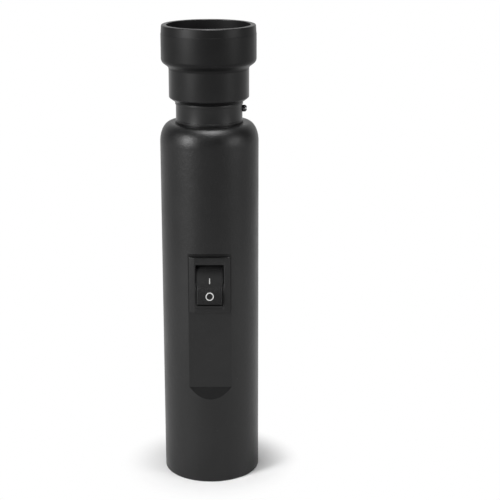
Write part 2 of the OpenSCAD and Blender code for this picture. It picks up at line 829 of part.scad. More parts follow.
// Shrunk sleeve over the resistor and the ends of its wires
module resistor_sleeve() {
    inner_r = resistor_d / 2 + sleeve_gap;
    color("darkslategray") translate([resistor_at.x, resistor_at.y, 0])
        ring(inner_r + sleeve_wall, inner_r, resistor_z - sleeve_over, resistor_len + 2 * sleeve_over);
}

body_shell();
neck_tube();
neck_screw();
egg_cup();
lens();
lens_seal();
reflector();
led_dome();
led_package();
led_board();
board_screws();
heat_sink();
switch_housing();
rocker();
rocker_marks();
switch_plunger();
plunger_spring();
contact_seesaw();
common_terminal();
load_terminal();
base_cap();
base_screws();
jack_socket();
jack_washer();
jack_nut();
jack_pin();
jack_contact();
supply_wire();
switched_wires();
return_wire();
resistor();
resistor_sleeve();
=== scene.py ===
"""Egg candling lamp: the visible pieces, finishes, light and camera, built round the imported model."""

import logging
import math
from dataclasses import dataclass, field, replace
from enum import Enum
from functools import cache
from typing import Callable, Sequence

import bmesh
import bpy
from mathutils import Matrix, Vector


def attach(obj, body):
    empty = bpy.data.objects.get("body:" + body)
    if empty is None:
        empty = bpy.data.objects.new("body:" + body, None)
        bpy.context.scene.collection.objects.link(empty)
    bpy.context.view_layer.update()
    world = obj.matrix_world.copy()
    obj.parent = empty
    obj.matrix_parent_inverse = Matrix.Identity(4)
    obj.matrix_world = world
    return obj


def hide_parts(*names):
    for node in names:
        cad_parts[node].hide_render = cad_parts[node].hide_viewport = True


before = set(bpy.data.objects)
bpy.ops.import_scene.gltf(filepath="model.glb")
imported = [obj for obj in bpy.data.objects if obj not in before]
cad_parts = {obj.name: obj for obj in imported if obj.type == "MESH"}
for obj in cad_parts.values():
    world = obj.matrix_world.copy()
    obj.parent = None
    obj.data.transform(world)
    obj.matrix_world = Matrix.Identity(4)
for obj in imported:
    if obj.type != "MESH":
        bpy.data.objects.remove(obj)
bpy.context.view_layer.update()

LOG = logging.getLogger("egg_lamp")
MM = 0.001
TURN_STEPS = 192
ARC_STEPS = 8
EDGE_STEPS = 5
BEVEL_STEPS = 3
OVERRUN = 1.0
CREASE = math.radians(16)
WELD = 1e-7
STRAIGHT = 1e-4
QUARTER = math.pi / 2
CORNERS = ((-1, -1), (1, -1), (1, 1), (-1, 1))
WHITE = (1.0, 1.0, 1.0, 1.0)
# The range from none to all, and a sheen that is the same at every height
UNIT = (0.0, 1.0)
EVEN = (0.0, 0.0, 1.0)

Pair = tuple[float, float]
Triple = tuple[float, float, float]
Four = tuple[float, float, float, float]
MeshData = tuple[list[Triple], list[tuple[int, ...]]]
Feeds = dict[str | int, object]
Sockets = bpy.types.NodeOutputs


class Body(Enum):
    """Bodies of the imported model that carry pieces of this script."""

    LAMP = "lamp"
    CUP = "cup"
    PADDLE = "paddle"


class Surface(Enum):
    """Kinds of texture on a moulded surface, each with the weight of its pits."""

    SPARKED = 0.9
    SATIN = 0.3
    POLISHED = 0.0


def corner_arc(before: Pair, corner: Pair, after: Pair, radius: float, steps: int) -> list[Pair]:
    """Rounds one corner of a flat outline.

    Args:
        before: The point before the corner.
        corner: The corner itself.
        after: The point after the corner.
        radius: Radius of the rounding.
        steps: Number of straight pieces in the arc.

    Returns:
        The points that take the corner's place.
    """
    at = Vector(corner)
    to_before = (Vector(before) - at).normalized()
    to_after = (Vector(after) - at).normalized()
    half = to_before.angle(to_after) / 2
    if radius <= 0 or abs(half - QUARTER) < STRAIGHT:
        return [corner]
    reach = radius / math.tan(half)
    centre = at + (to_before + to_after).normalized() * (radius / math.sin(half))
    start = at + to_before * reach - centre
    end = at + to_after * reach - centre
    sweep = start.angle_signed(end)
    points = []
    for i in range(steps + 1):
        turn = Matrix.Rotation(-sweep * i / steps, 2)
        points.append(tuple(centre + turn @ start))
    return points


def rounded(outline: Sequence[Triple], steps: int = ARC_STEPS) -> list[Pair]:
    """Rounds the corners of a closed outline.

    Args:
        outline: Corners in order, each with its radius.
        steps: Number of straight pieces in each arc.

    Returns:
        The points of the rounded outline.
    """
    points: list[Pair] = []
    count = len(outline)
    for i, (u, v, radius) in enumerate(outline):
        before, after = outline[i - 1], outline[(i + 1) % count]
        points += corner_arc(before[:2], (u, v), after[:2], radius, steps)
    return points


def arc(centre: Pair, radius: float, first: float, last: float, steps: int) -> list[Pair]:
    """Lists points on an arc.

    Args:
        centre: Middle of the arc.
        radius: Radius of the arc.
        first: Angle of its first point, in degrees.
        last: Angle of its last point, in degrees.
        steps: Number of straight pieces.

    Returns:
        The points in order.
    """
    angles = [math.radians(first + (last - first) * i / steps) for i in range(steps + 1)]
    return [(centre[0] + radius * math.cos(a), centre[1] + radius * math.sin(a)) for a in angles]


def eased(first: Vector, corner: Vector, last: Vector, steps: int) -> list[Pair]:
    """Returns a smooth curve from one point to another that is led by the corner between them."""
    shares = [i / steps for i in range(1, steps + 1)]
    return [tuple(first * (1 - t) ** 2 + corner * 2 * t * (1 - t) + last * t * t) for t in shares]


def oval(centre: Pair, width: float, height: float, steps: int) -> list[Pair]:
    """Returns a quarter of an ellipse, from its side to its top."""
    angles = [QUARTER * i / steps for i in range(steps + 1)]
    return [(centre[0] + width * math.cos(a), centre[1] + height * math.sin(a)) for a in angles]


def bridged(loops: Sequence[Sequence[Triple]], closed: bool) -> MeshData:
    """Skins a row of loops that have the same number of points.

    Args:
        loops: The loops in order.
        closed: Whether the last loop joins the first, or else both ends get a face.

    Returns:
        Points and faces.
    """
    count = len(loops[0])
    points = [p for loop in loops for p in loop]
    faces: list[tuple[int, ...]] = []
    last = len(loops) if closed else len(loops) - 1
    for i in range(last):
        low, high = i * count, (i + 1) % len(loops) * count
        for k in range(count):
            n = (k + 1) % count
            faces.append((low + k, low + n, high + n, high + k))
    if not closed:
        faces.append(tuple(range(count)))
        faces.append(tuple(range((len(loops) - 1) * count, len(loops) * count)))
    return points, faces


def turned(outline: Sequence[Pair], steps: int = TURN_STEPS) -> MeshData:
    """Turns a closed half outline of radius and height about the Z axis.

    Args:
        outline: Points of the half section.
        steps: Number of sides.

    Returns:
        Points and faces.
    """
    loops = []
    for i in range(steps):
        a = 2 * math.pi * i / steps
        loops.append([(r * math.cos(a), r * math.sin(a), z) for r, z in outline])
    return bridged(loops, closed=True)


def rectangle(half_w: float, half_h: float, corner: float, steps: int = EDGE_STEPS) -> list[Pair]:
    """Returns a rectangle about the origin with rounded corners."""
    return rounded([(u * half_w, v * half_h, corner) for u, v in CORNERS], steps)


def hollow(inner: float, outer: float, low: float, high: float) -> list[Pair]:
    """Returns the half section of a plain tube, or of a rod where the inner radius is zero."""
    return [(inner, low), (outer, low), (outer, high), (inner, high)]


def make_mesh(name: str, data: MeshData) -> bpy.types.Mesh:
    """Makes a mesh from points and faces.

    Args:
        name: Its name.
        data: Points and faces.

    Returns:
        The mesh.
    """
    mesh = bpy.data.meshes.new(name)
    mesh.from_pydata(data[0], [], data[1])
    return mesh


def add_object(name: str, data: bpy.types.ID) -> bpy.types.Object:
    """Adds an object to the scene.

    Args:
        name: Its name.
        data: Its mesh, lamp or camera.

    Returns:
        The object.
    """
    thing = bpy.data.objects.new(name, data)
    bpy.context.scene.collection.objects.link(thing)
    return thing


def make_piece(name: str, data: MeshData, material: bpy.types.Material, place: Matrix | None = None,
               crease: float = CREASE) -> bpy.types.Object:
    """Makes one piece from points in millimetres.

    Args:
        name: Name of the piece.
        data: Points and faces.
        material: Its finish.
        place: Where the points go, in millimetres.
        crease: Angle above which an edge stays sharp.

    Returns:
        The piece, at the origin, with its place in its mesh.
    """
    mesh = make_mesh(name, data)
    mesh.transform(Matrix.Scale(MM, 4) @ (place or Matrix.Identity(4)))
    tidy_mesh(mesh, crease)
    mesh.materials.append(material)
    return add_object(name, mesh)


def tidy_mesh(mesh: bpy.types.Mesh, crease: float = CREASE) -> None:
    """Welds a mesh, points its faces outwards and smooths it.

    Args:
        mesh: The mesh.
        crease: Angle above which an edge stays sharp.
    """
    shape = bmesh.new()
    shape.from_mesh(mesh)
    bmesh.ops.remove_doubles(shape, verts=shape.verts, dist=WELD)
    bmesh.ops.dissolve_degenerate(shape, edges=shape.edges, dist=WELD)
    bmesh.ops.recalc_face_normals(shape, faces=shape.faces)
    shape.to_mesh(mesh)
    shape.free()
    mesh.shade_smooth()
    mesh.set_sharp_from_angle(angle=crease)
    mesh.update()


def paint_faces(piece: bpy.types.Object, material: bpy.types.Material,
                chosen: Callable[[Vector], bool]) -> None:
    """Gives some faces of a piece another finish.

    Args:
        piece: The piece.
        material: The finish.
        chosen: Tells from the middle of a face, in millimetres, whether it takes the finish.
    """
    piece.data.materials.append(material)
    for face in piece.data.polygons:
        if chosen(face.center / MM):
            face.material_index = len(piece.data.materials) - 1


def soften_edges(piece: bpy.types.Object, width: float, limit: float = 50.0) -> None:
    """Adds a small bevel to a piece's sharp edges.

    Args:
        piece: The piece.
        width: Width of the bevel, in millimetres.
        limit: Smallest angle between faces that is bevelled, in degrees.
    """
    bevel = piece.modifiers.new("soft_edges", "BEVEL")
    bevel.width = width * MM
    bevel.segments = BEVEL_STEPS
    bevel.limit_method = "ANGLE"
    bevel.angle_limit = math.radians(limit)
    bevel.harden_normals = True
    bevel.use_clamp_overlap = True


def settle(piece: bpy.types.Object, body: Body, slot: str, *nodes: str) -> None:
    """Rides a piece on its body and hides the CAD nodes that it stands for.

    Args:
        piece: The piece.
        body: The body that it moves with.
        slot: Not used.
        nodes: CAD nodes that it stands for.
    """
    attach(piece, body.value)
    if nodes:
        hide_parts(*nodes)
    LOG.info("%s rides on %s", piece.name, body.value)


def settle_turned(name: str, outline: Sequence[Pair], material: bpy.types.Material, slot: str, node: str,
                  steps: int = TURN_STEPS) -> None:
    """Turns a piece about the Z axis and settles it on the lamp's own body.

    Args:
        name: Name of the piece.
        outline: Points of its half section.
        material: Its finish.
        slot: The record's material slot.
        node: CAD node that it stands for.
        steps: Number of sides.
    """
    settle(make_piece(name, turned(outline, steps), material), Body.LAMP, slot, node)


def dress_nodes(material: bpy.types.Material, *names: str) -> None:
    """Gives CAD nodes that stay in view or inside the lamp their finish.

    Args:
        material: The finish.
        names: The nodes.
    """
    for name in names:
        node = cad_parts[name]
        node.data.materials.clear()
        node.data.materials.append(material)
        LOG.info("%s keeps its CAD shape", name)


class NodeSheet:
    """Places and links nodes in one tree."""

    def __init__(self, tree: bpy.types.NodeTree) -> None:
        """Keeps the tree."""
        self.tree = tree

    def add(self, kind: str, feeds: Feeds | None = None, **values: object) -> bpy.types.Node:
        """Adds a node.

        Args:
            kind: Blender's name of the node type.
            feeds: What its sockets are linked to or set to, by name or number.
            values: Properties of the node.

        Returns:
            The node.
        """
        node = self.tree.nodes.new(kind)
        for key, value in values.items():
            setattr(node, key, value)
        self.feed(node, feeds or {})
        return node

    def feed(self, node: bpy.types.Node, feeds: Feeds) -> None:
        """Links sockets of a node to other sockets, or sets their values.

        Args:
            node: The node.
            feeds: Source or value of each socket, by name or number.
        """
        for key, source in feeds.items():
            if isinstance(source, bpy.types.NodeSocket):
                self.tree.links.new(source, node.inputs[key])
            else:
                node.inputs[key].default_value = source

    def math(self, operation: str, *inputs: object) -> bpy.types.NodeSocket:
        """Returns the result of a sum of sockets or numbers."""
        return self.add("ShaderNodeMath", dict(enumerate(inputs)), operation=operation).outputs[0]

    def span(self, value: bpy.types.NodeSocket, before: Pair, after: Pair, smooth: bool = False
             ) -> bpy.types.NodeSocket:
        """Maps a value from one range to another.

        Args:
            value: The value.
            before: Its range.
            after: The new range.
            smooth: Whether the ends are eased.

        Returns:
            The mapped value.
        """
        kind = "SMOOTHSTEP" if smooth else "LINEAR"
        feeds = dict(enumerate((value, *before, *after)))
        return self.add("ShaderNodeMapRange", feeds, interpolation_type=kind).outputs[0]

    def blend(self, share: object, first: object, second: object) -> bpy.types.NodeSocket:
        """Returns a mix of two colours, by the share of the second."""
        return self.add("ShaderNodeMix", {0: share, 6: first, 7: second}, data_type="RGBA").outputs[2]

    def noise(self, vector: object, scale: object, detail: float, rough: float = 0.5) -> bpy.types.NodeSocket:
        """Returns the value of a noise of some scale, detail and roughness."""
        feeds = {"Vector": vector, "Scale": scale, "Detail": detail, "Roughness": rough}
        return self.add("ShaderNodeTexNoise", feeds).outputs[0]

    def upward(self, vector: bpy.types.NodeSocket) -> bpy.types.NodeSocket:
        """Returns the Z of a vector."""
        return self.add("ShaderNodeSeparateXYZ", {0: vector}).outputs["Z"]

    def group(self, tree: bpy.types.NodeTree, feeds: Feeds) -> Sockets:
        """Returns what a shared group of nodes puts out."""
        return self.add("ShaderNodeGroup", feeds, node_tree=tree).outputs


def start_group(name: str, kind: str, inputs: dict[str, str], outputs: dict[str, str]
                ) -> tuple[NodeSheet, Sockets, bpy.types.Node]:
    """Starts a group of nodes.

    Args:
        name: Its name.
        kind: Type of its tree.
        inputs: Type of each socket that goes in, by name.
        outputs: Type of each socket that comes out, by name.

    Returns:
        The sheet, the sockets that come in and the output node.
    """
    tree = bpy.data.node_groups.new(name, kind + "NodeTree")
    for way, sockets in (("INPUT", inputs), ("OUTPUT", outputs)):
        for label, socket in sockets.items():
            tree.interface.new_socket(label, in_out=way, socket_type="NodeSocket" + socket)
    sheet = NodeSheet(tree)
    return sheet, sheet.add("NodeGroupInput").outputs, sheet.add("NodeGroupOutput")


class Effects:
    """Shader node groups that several finishes share."""

    PIT_SHARE = 0.7
    PEEL_SHARE = 0.25
    MOTTLE_SCALE = 90.0
    MOTTLE_RANGE = (0.3, 0.7)
    SPOT_SIZES = (0.05, 0.16)
    STREAK_STRETCH = (0.12, 0.12, 1.0)
    TARNISH_SCALE = 400.0
    TARNISH_RANGE = (0.35, 0.7)

    @staticmethod
    @cache
    def grain() -> bpy.types.NodeTree:
        """Makes the group for a moulded grain: its height, and a slow mottle of tone.

        Returns:
            The group.
        """
        sheet, given, out = start_group(
            "moulded_grain", "Shader",
            {"Vector": "Vector", "Scale": "Float", "Stipple": "Float", "Peel": "Float"},
            {"Height": "Float", "Mottle": "Float"})
        place, scale = given["Vector"], given["Scale"]
        fine = sheet.noise(place, scale, detail=3.0, rough=0.6)
        cells = sheet.add("ShaderNodeTexVoronoi", {
            "Vector": place, "Scale": sheet.math("MULTIPLY", scale, Effects.PIT_SHARE)}, feature="SMOOTH_F1")
        pits = sheet.math("MULTIPLY", cells.outputs["Distance"], given["Stipple"])
        wide = sheet.noise(place, sheet.math("MULTIPLY", scale, Effects.PEEL_SHARE), detail=1.0)
        peel = sheet.math("MULTIPLY", wide, given["Peel"])
        slow = sheet.noise(place, Effects.MOTTLE_SCALE, detail=4.0, rough=0.6)
        sheet.feed(out, {"Height": sheet.math("ADD", sheet.math("ADD", fine, pits), peel),
                         "Mottle": sheet.span(slow, Effects.MOTTLE_RANGE, UNIT)})
        return sheet.tree

    @staticmethod
    @cache
    def dust() -> bpy.types.NodeTree:
        """Makes the group for stray specks: a mask with a few small spots.

        Returns:
            The group.
        """
        sheet, given, out = start_group(
            "stray_specks", "Shader", {"Vector": "Vector", "Scale": "Float", "Share": "Float"},
            {"Mask": "Float"})
        cells = sheet.add("ShaderNodeTexVoronoi", {
            "Vector": given["Vector"], "Scale": given["Scale"]}, feature="F1")
        chance = sheet.add("ShaderNodeSeparateColor", {0: cells.outputs["Color"]}).outputs
        chosen = sheet.math("LESS_THAN", chance[0], given["Share"])
        size = sheet.span(chance[1], UNIT, Effects.SPOT_SIZES)
        spot = sheet.math("LESS_THAN", cells.outputs["Distance"], size)
        sheet.feed(out, {"Mask": sheet.math("MULTIPLY", chosen, spot)})
        return sheet.tree

    @staticmethod
    @cache
    def brushing() -> bpy.types.NodeTree:
        """Makes the group for tool marks: streaks round the Z axis and a slow tarnish.

        Returns:
            The group.
        """
        sheet, given, out = start_group("tool_marks", "Shader", {"Vector": "Vector", "Scale": "Float"},
                                        {"Streaks": "Float", "Tarnish": "Float"})
        stretch = sheet.add("ShaderNodeMapping", {"Vector": given["Vector"], "Scale": Effects.STREAK_STRETCH})
        slow = sheet.noise(given["Vector"], Effects.TARNISH_SCALE, detail=3.0)
        sheet.feed(out, {"Streaks": sheet.noise(stretch.outputs[0], given["Scale"], detail=2.0),
                         "Tarnish": sheet.span(slow, Effects.TARNISH_RANGE, UNIT)})
        return sheet.tree


def tint(colour: Triple, gain: float = 1.0) -> tuple[float, ...]:
    """Returns a colour with its alpha, made lighter or darker by a gain."""
    return tuple(c * gain for c in colour) + (1.0,)


def start_material(name: str) -> tuple[bpy.types.Material, NodeSheet, bpy.types.Node, bpy.types.NodeSocket]:
    """Starts a material.

    Args:
        name: Its name.

    Returns:
        The material, its sheet, its Principled shader and its Object coordinates.
    """
    material = bpy.data.materials.new(name)
    material.use_nodes = True
    sheet = NodeSheet(material.node_tree)
    place = sheet.add("ShaderNodeTexCoord").outputs["Object"]
    return material, sheet, material.node_tree.nodes["Principled BSDF"], place


def finish_material(sheet: NodeSheet, shader: bpy.types.Node, feeds: Feeds, height: bpy.types.NodeSocket,
                    depth_mm: float) -> None:
    """Feeds a Principled shader and gives its normal a fine relief.

    Args:
        sheet: The material's sheet.
        shader: The shader.
        feeds: What its sockets are linked to or set to.
        height: Height of the relief, from 0 to about 1.
        depth_mm: Depth of the relief.
    """
    bump = sheet.add("ShaderNodeBump", {"Strength": 1.0, "Distance": depth_mm * MM, "Height": height})
    sheet.feed(shader, feeds | {"Normal": bump.outputs[0]})


@dataclass(frozen=True)
class Moulded:
    """A moulded plastic or rubber.

    Its sheen can rise towards the limb, and change by a gain below a height and back to 1 above another; that
    gain paints sheen where it is above 1 and shade where it is below 1.
    """

    name: str
    colour: Triple
    mottle: float = 0.18
    roughness: Pair = (0.5, 0.58)
    grain_mm: float = 0.3
    depth_mm: float = 0.02
    surface: Surface = Surface.SATIN
    specular: float = 0.5
    specks: float = 0.0
    limb: float = 0.0
    painted_light_by_height: Triple = EVEN
    peel: float = 0.0
    speck_scale: float = 800.0
    speck_colour: Triple = (0.03, 0.03, 0.03)
    limb_range: Pair = (0.55, 0.95)

    def sheen(self, sheet: NodeSheet, place: bpy.types.NodeSocket) -> object:
        """Works out the specular level.

        Args:
            sheet: The material's sheet.
            place: Its Object coordinates.

        Returns:
            One number, or a socket where the level changes over the piece.
        """
        level: object = self.specular
        if self.limb > self.specular:
            turn = sheet.add("ShaderNodeLayerWeight", {"Blend": 0.5}).outputs["Facing"]
            level = sheet.span(turn, self.limb_range, (self.specular, self.limb), smooth=True)
        # Painted light by height: the specular level is multiplied by a gain that eases to 1, painting sheen
        # above 1 and shade below 1
        low, high, gain = self.painted_light_by_height
        if gain != 1.0:
            painted_light_gain = sheet.span(sheet.upward(place), (low * MM, high * MM), (gain, 1.0), smooth=True)
            level = sheet.math("MULTIPLY", level, painted_light_gain)
        return level

    def material(self) -> bpy.types.Material:
        """Builds the material: mottled tone, grain in the normal, stray specks, and painted sheen and shade
        by height where a gain is set.

        Returns:
            The material.
        """
        material, sheet, shader, place = start_material(self.name)
        grain = sheet.group(Effects.grain(), {
            "Vector": place, "Scale": 1 / (self.grain_mm * MM), "Stipple": self.surface.value,
            "Peel": self.peel})
        mottle = grain["Mottle"]
        colour = sheet.blend(mottle, tint(self.colour, 1 - self.mottle), tint(self.colour, 1 + self.mottle))
        if self.specks > 0:
            dust = sheet.group(Effects.dust(), {
                "Vector": place, "Scale": self.speck_scale, "Share": self.specks})
            colour = sheet.blend(dust["Mask"], colour, tint(self.speck_colour))
        finish_material(sheet, shader, {
            "Base Color": colour, "Roughness": sheet.span(mottle, UNIT, self.roughness),
            "Specular IOR Level": self.sheen(sheet, place)}, grain["Height"], self.depth_mm)
        return material


@dataclass(frozen=True)
class Metal:
    """A plain or plated metal."""

    name: str
    colour: Triple
    roughness: Pair = (0.25, 0.4)
    streak_mm: float = 0.12
    depth_mm: float = 0.004
    tarnish: float = 0.25

    def material(self) -> bpy.types.Material:
        """Builds the material: streaks in the normal, tarnish in tone and gloss.

        Returns:
            The material.
        """
        material, sheet, shader, place = start_material(self.name)
        marks = sheet.group(Effects.brushing(), {"Vector": place, "Scale": 1 / (self.streak_mm * MM)})
        dull = marks["Tarnish"]
        finish_material(sheet, shader, {
            "Base Color": sheet.blend(dull, tint(self.colour), tint(self.colour, 1 - self.tarnish)),
            "Roughness": sheet.span(dull, UNIT, self.roughness), "Metallic": 1.0}, marks["Streaks"],
            self.depth_mm)
        return material


@dataclass(frozen=True)
class Clear:
    """A clear moulded window."""

    name: str
    colour: Triple = (0.96, 0.98, 1.0)
    roughness: Pair = (0.02, 0.07)
    ior: float = 1.49
    marks_scale: float = 1500.0

    def material(self) -> bpy.types.Material:
        """Builds the material: clear, with faint handling marks in its gloss.

        Returns:
            The material.
        """
        material, sheet, shader, place = start_material(self.name)
        grain = sheet.group(Effects.grain(), {"Vector": place, "Scale": self.marks_scale, "Stipple": 0.0})
        sheet.feed(shader, {"Roughness": sheet.span(grain["Mottle"], UNIT, self.roughness), "IOR": self.ior,
                            "Base Color": tint(self.colour), "Transmission Weight": 1.0})
        return material


class Finishes:
    """Every finish of the lamp, built once."""

    def __init__(self) -> None:
        """Builds the materials."""
        self.build_handle_and_cup()
        self.build_switch()
        self.build_light_and_wires()
        self.build_metals()

    def build_handle_and_cup(self) -> None:
        """Builds the black plastics of the handle and neck and the rubbers of the cup and seal."""
        # The handle's specular gain of 1.43 below 60 mm, easing to 1 at 115 mm, is a painted sheen on the
        # lower tube
        handle = Moulded("handle_plastic", (0.0038, 0.0038, 0.0039), 0.14, (0.38, 0.46), 0.32, 0.016,
                         Surface.SPARKED, specular=0.236, specks=0.01, limb=0.38,
                         painted_light_by_height=(60.0, 115.0, 1.43), peel=2.5)
        # A duller, less glossy copy of the handle plastic for the runout ramp below the flat: painted shade
        runout = Moulded("handle_runout_painted_shade", handle.colour, 0.14, (0.44, 0.52), 0.32, 0.016, Surface.SPARKED,
                         specular=0.14)
        neck = Moulded("neck_plastic", (0.004, 0.004, 0.0041), 0.12, (0.34, 0.42), 0.5, 0.006, specular=0.255,
                       limb=0.54)
        cup = Moulded("cup_rubber", (0.003, 0.003, 0.0031), 0.16, (0.42, 0.5), 0.45, 0.008, specular=0.142,
                      specks=0.004, limb=0.44)
        # A rougher, less glossy copy of the cup rubber for its hollow: painted shade inside the cup
        inside = Moulded("cup_rubber_inside_painted_shade", cup.colour, 0.16, (0.58, 0.66), 0.45, 0.01, specular=0.1)
        # A glossier copy of the cup rubber for the collar below the heel: painted sheen on the collar
        collar = replace(cup, name="cup_rubber_collar_painted_sheen", roughness=(0.34, 0.42), specular=0.2, limb=0.47)
        # A smoother, glossier copy of the cup rubber for the top of the rim: painted highlight along the rim
        rim = Moulded("cup_rubber_rim_painted_highlight", cup.colour, 0.1, (0.34, 0.42), 0.45, 0.003, Surface.POLISHED,
                      specular=0.22)
        self.handle, self.runout, self.neck = (made.material() for made in (handle, runout, neck))
        self.cup, self.cup_inside, self.cup_collar, self.cup_rim = (
            made.material() for made in (cup, inside, collar, rim))
        self.seal = Moulded("seal_rubber", (0.012, 0.012, 0.012), 0.2, (0.6, 0.7)).material()

    def build_switch(self) -> None:
        """Builds the plastics of the switch and the print on its paddle."""
        # The paddle's specular level falls from about 0.29 below 80.2 mm to 0.06 at 84.8 mm: painted shade on
        # its upper, pressed-in end
        paddle = Moulded("paddle_plastic", (0.005, 0.005, 0.0051), 0.1, (0.4, 0.48), 0.22, 0.01,
                         Surface.SPARKED, specular=0.06, painted_light_by_height=(80.2, 84.8, 4.9))
        # A copy of the paddle plastic for its lower half, its specular level falling to 0.56 of 0.25 towards
        # the lower end: painted shade
        low = replace(paddle, name="paddle_painted_shade_low", roughness=(0.42, 0.5), depth_mm=0.014, specular=0.25,
                      painted_light_by_height=(74.5, 78.4, 0.56))
        self.paddle, self.paddle_shaded_low = paddle.material(), low.material()
        self.switch = Moulded("switch_plastic", (0.006, 0.006, 0.0061), 0.1, (0.38, 0.46), 0.25, 0.006,
                              specular=0.25).material()
        self.mark = Moulded("mark_print", (0.36, 0.36, 0.355), 0.05, (0.5, 0.6), 0.2, 0.004, Surface.POLISHED,
                            specular=0.4).material()

    def build_light_and_wires(self) -> None:
        """Builds the finishes of the light source, its board, the wires and the resistor."""
        self.ceramic = Moulded("led_ceramic", (0.8, 0.8, 0.77), 0.05, (0.5, 0.6), 0.2, 0.003).material()
        self.phosphor = Moulded("led_silicone", (0.86, 0.66, 0.12), 0.12, (0.08, 0.14), 0.3, 0.002,
                                Surface.POLISHED).material()
        self.board = Moulded("board_mask", (0.78, 0.78, 0.75), 0.04, (0.35, 0.45), 0.3, 0.004).material()
        self.wire_red = Moulded("wire_red", (0.38, 0.012, 0.01), 0.1, (0.4, 0.5), 0.4, 0.004).material()
        self.wire_black = Moulded("wire_black", (0.012, 0.012, 0.012), 0.1, (0.4, 0.5), 0.4, 0.004).material()
        self.lacquer = Moulded("resistor_coat", (0.45, 0.3, 0.15), 0.1, (0.3, 0.4), 0.3, 0.004).material()
        self.sleeve = Moulded("sleeve_black", (0.012, 0.012, 0.012), 0.15, (0.5, 0.6), 0.4, 0.006).material()
        self.window = Clear("lens_clear").material()

    def build_metals(self) -> None:
        """Builds the metals."""
        self.steel = Metal("plated_steel", (0.55, 0.56, 0.58)).material()
        self.dark_steel = Metal("dark_steel", (0.1, 0.1, 0.105), (0.35, 0.5)).material()
        self.brass = Metal("contact_brass", (0.72, 0.5, 0.18)).material()
        self.aluminium = Metal("sink_aluminium", (0.72, 0.73, 0.74), (0.3, 0.42)).material()
        self.mirror = Metal("reflector_bright", (0.86, 0.87, 0.88), (0.06, 0.12), streak_mm=0.4,
                            depth_mm=0.0008, tarnish=0.06).material()


class CopyTrees:
    """Geometry node trees for what repeats or follows a path."""

    COIL_STEPS = 24
    WIRE_STEPS = 10

    @staticmethod
    @cache
    def ring() -> bpy.types.NodeTree:
        """Makes a tree that sets copies of the mesh on a ring, each turned by chance from a fixed seed.

        Returns:
            The tree.
        """
        sheet, given, out = start_group(
            "copies_on_ring", "Geometry",
            {"Geometry": "Geometry", "Count": "Int", "Radius": "Float", "First": "Float", "Swing": "Float",
             "Seed": "Int", "Finish": "Material"}, {"Geometry": "Geometry"})
        circle = sheet.add("GeometryNodeMeshCircle", {"Vertices": given["Count"], "Radius": given["Radius"]})
        turn = sheet.add("ShaderNodeCombineXYZ", {"Z": given["First"]})
        move = sheet.add("GeometryNodeTransform", {
            "Geometry": circle.outputs[0], "Rotation": turn.outputs[0]})
        # The node of chance has sockets for each type of value: inputs 2 and 3 and output 1 are for a float
        chance = sheet.add("FunctionNodeRandomValue", {2: 0.0, 3: given["Swing"], "Seed": given["Seed"]},
                           data_type="FLOAT")
        swing = sheet.add("ShaderNodeCombineXYZ", {"Z": chance.outputs[1]})
        copies = sheet.add("GeometryNodeInstanceOnPoints", {
            "Points": move.outputs[0], "Instance": given["Geometry"], "Rotation": swing.outputs[0]})
        return CopyTrees._end(sheet, copies.outputs[0], given["Finish"], out)

    @staticmethod
    @cache
    def coil() -> bpy.types.NodeTree:
        """Makes a tree for a coil spring along +Z from the origin.

        Returns:
            The tree.
        """
        sheet, given, out = start_group(
            "coil_spring", "Geometry",
            {"Geometry": "Geometry", "Turns": "Float", "Radius": "Float", "Height": "Float", "Wire": "Float",
             "Finish": "Material"}, {"Geometry": "Geometry"})
        spiral = sheet.add("GeometryNodeCurveSpiral", {
            "Resolution": CopyTrees.COIL_STEPS, "Rotations": given["Turns"], "Height": given["Height"],
            "Start Radius": given["Radius"], "End Radius": given["Radius"]})
        section = sheet.add("GeometryNodeCurvePrimitiveCircle", {
            "Resolution": CopyTrees.WIRE_STEPS, "Radius": given["Wire"]})
        wire = sheet.add("GeometryNodeCurveToMesh", {
            "Curve": spiral.outputs[0], "Profile Curve": section.outputs[0], "Fill Caps": True})
        return CopyTrees._end(sheet, wire.outputs[0], given["Finish"], out)

    @staticmethod
    def _end(sheet: NodeSheet, made: bpy.types.NodeSocket, finish: bpy.types.NodeSocket,
             out: bpy.types.Node) -> bpy.types.NodeTree:
        """Realizes the copies, sets their finish and links them to the output.

        Args:
            sheet: The tree's sheet.
            made: The copies.
            finish: Their finish.
            out: The output node.

        Returns:
            The finished tree.
        """
        real = sheet.add("GeometryNodeRealizeInstances", {0: made})
        paint = sheet.add("GeometryNodeSetMaterial", {"Geometry": real.outputs[0], "Material": finish})
        sheet.feed(out, {0: paint.outputs[0]})
        return sheet.tree

    @staticmethod
    def run(piece: bpy.types.Object, tree: bpy.types.NodeTree, values: dict[str, object],
            place: Matrix | None = None) -> bpy.types.Object:
        """Runs a tree on a piece and keeps the result as a plain mesh.

        Args:
            piece: The piece that carries the starting mesh.
            tree: The tree.
            values: Its inputs by name.
            place: Where the result goes, in metres.

        Returns:
            The same piece with its new mesh.
        """
        modifier = piece.modifiers.new(tree.name, "NODES")
        modifier.node_group = tree
        for item in tree.interface.items_tree:
            if item.in_out == "INPUT" and item.name in values:
                modifier[item.identifier] = values[item.name]
        mesh = evaluated_mesh(piece)
        piece.modifiers.remove(modifier)
        if place:
            mesh.transform(place)
        tidy_mesh(mesh)
        mesh.name = piece.name
        piece.data = mesh
        return piece


def evaluated_mesh(piece: bpy.types.Object) -> bpy.types.Mesh:
    """Makes a mesh of a piece as its modifiers leave it.

    Args:
        piece: The piece.

    Returns:
        The new mesh.
    """
    bpy.context.view_layer.update()
    ready = piece.evaluated_get(bpy.context.evaluated_depsgraph_get())
    return bpy.data.meshes.new_from_object(ready)


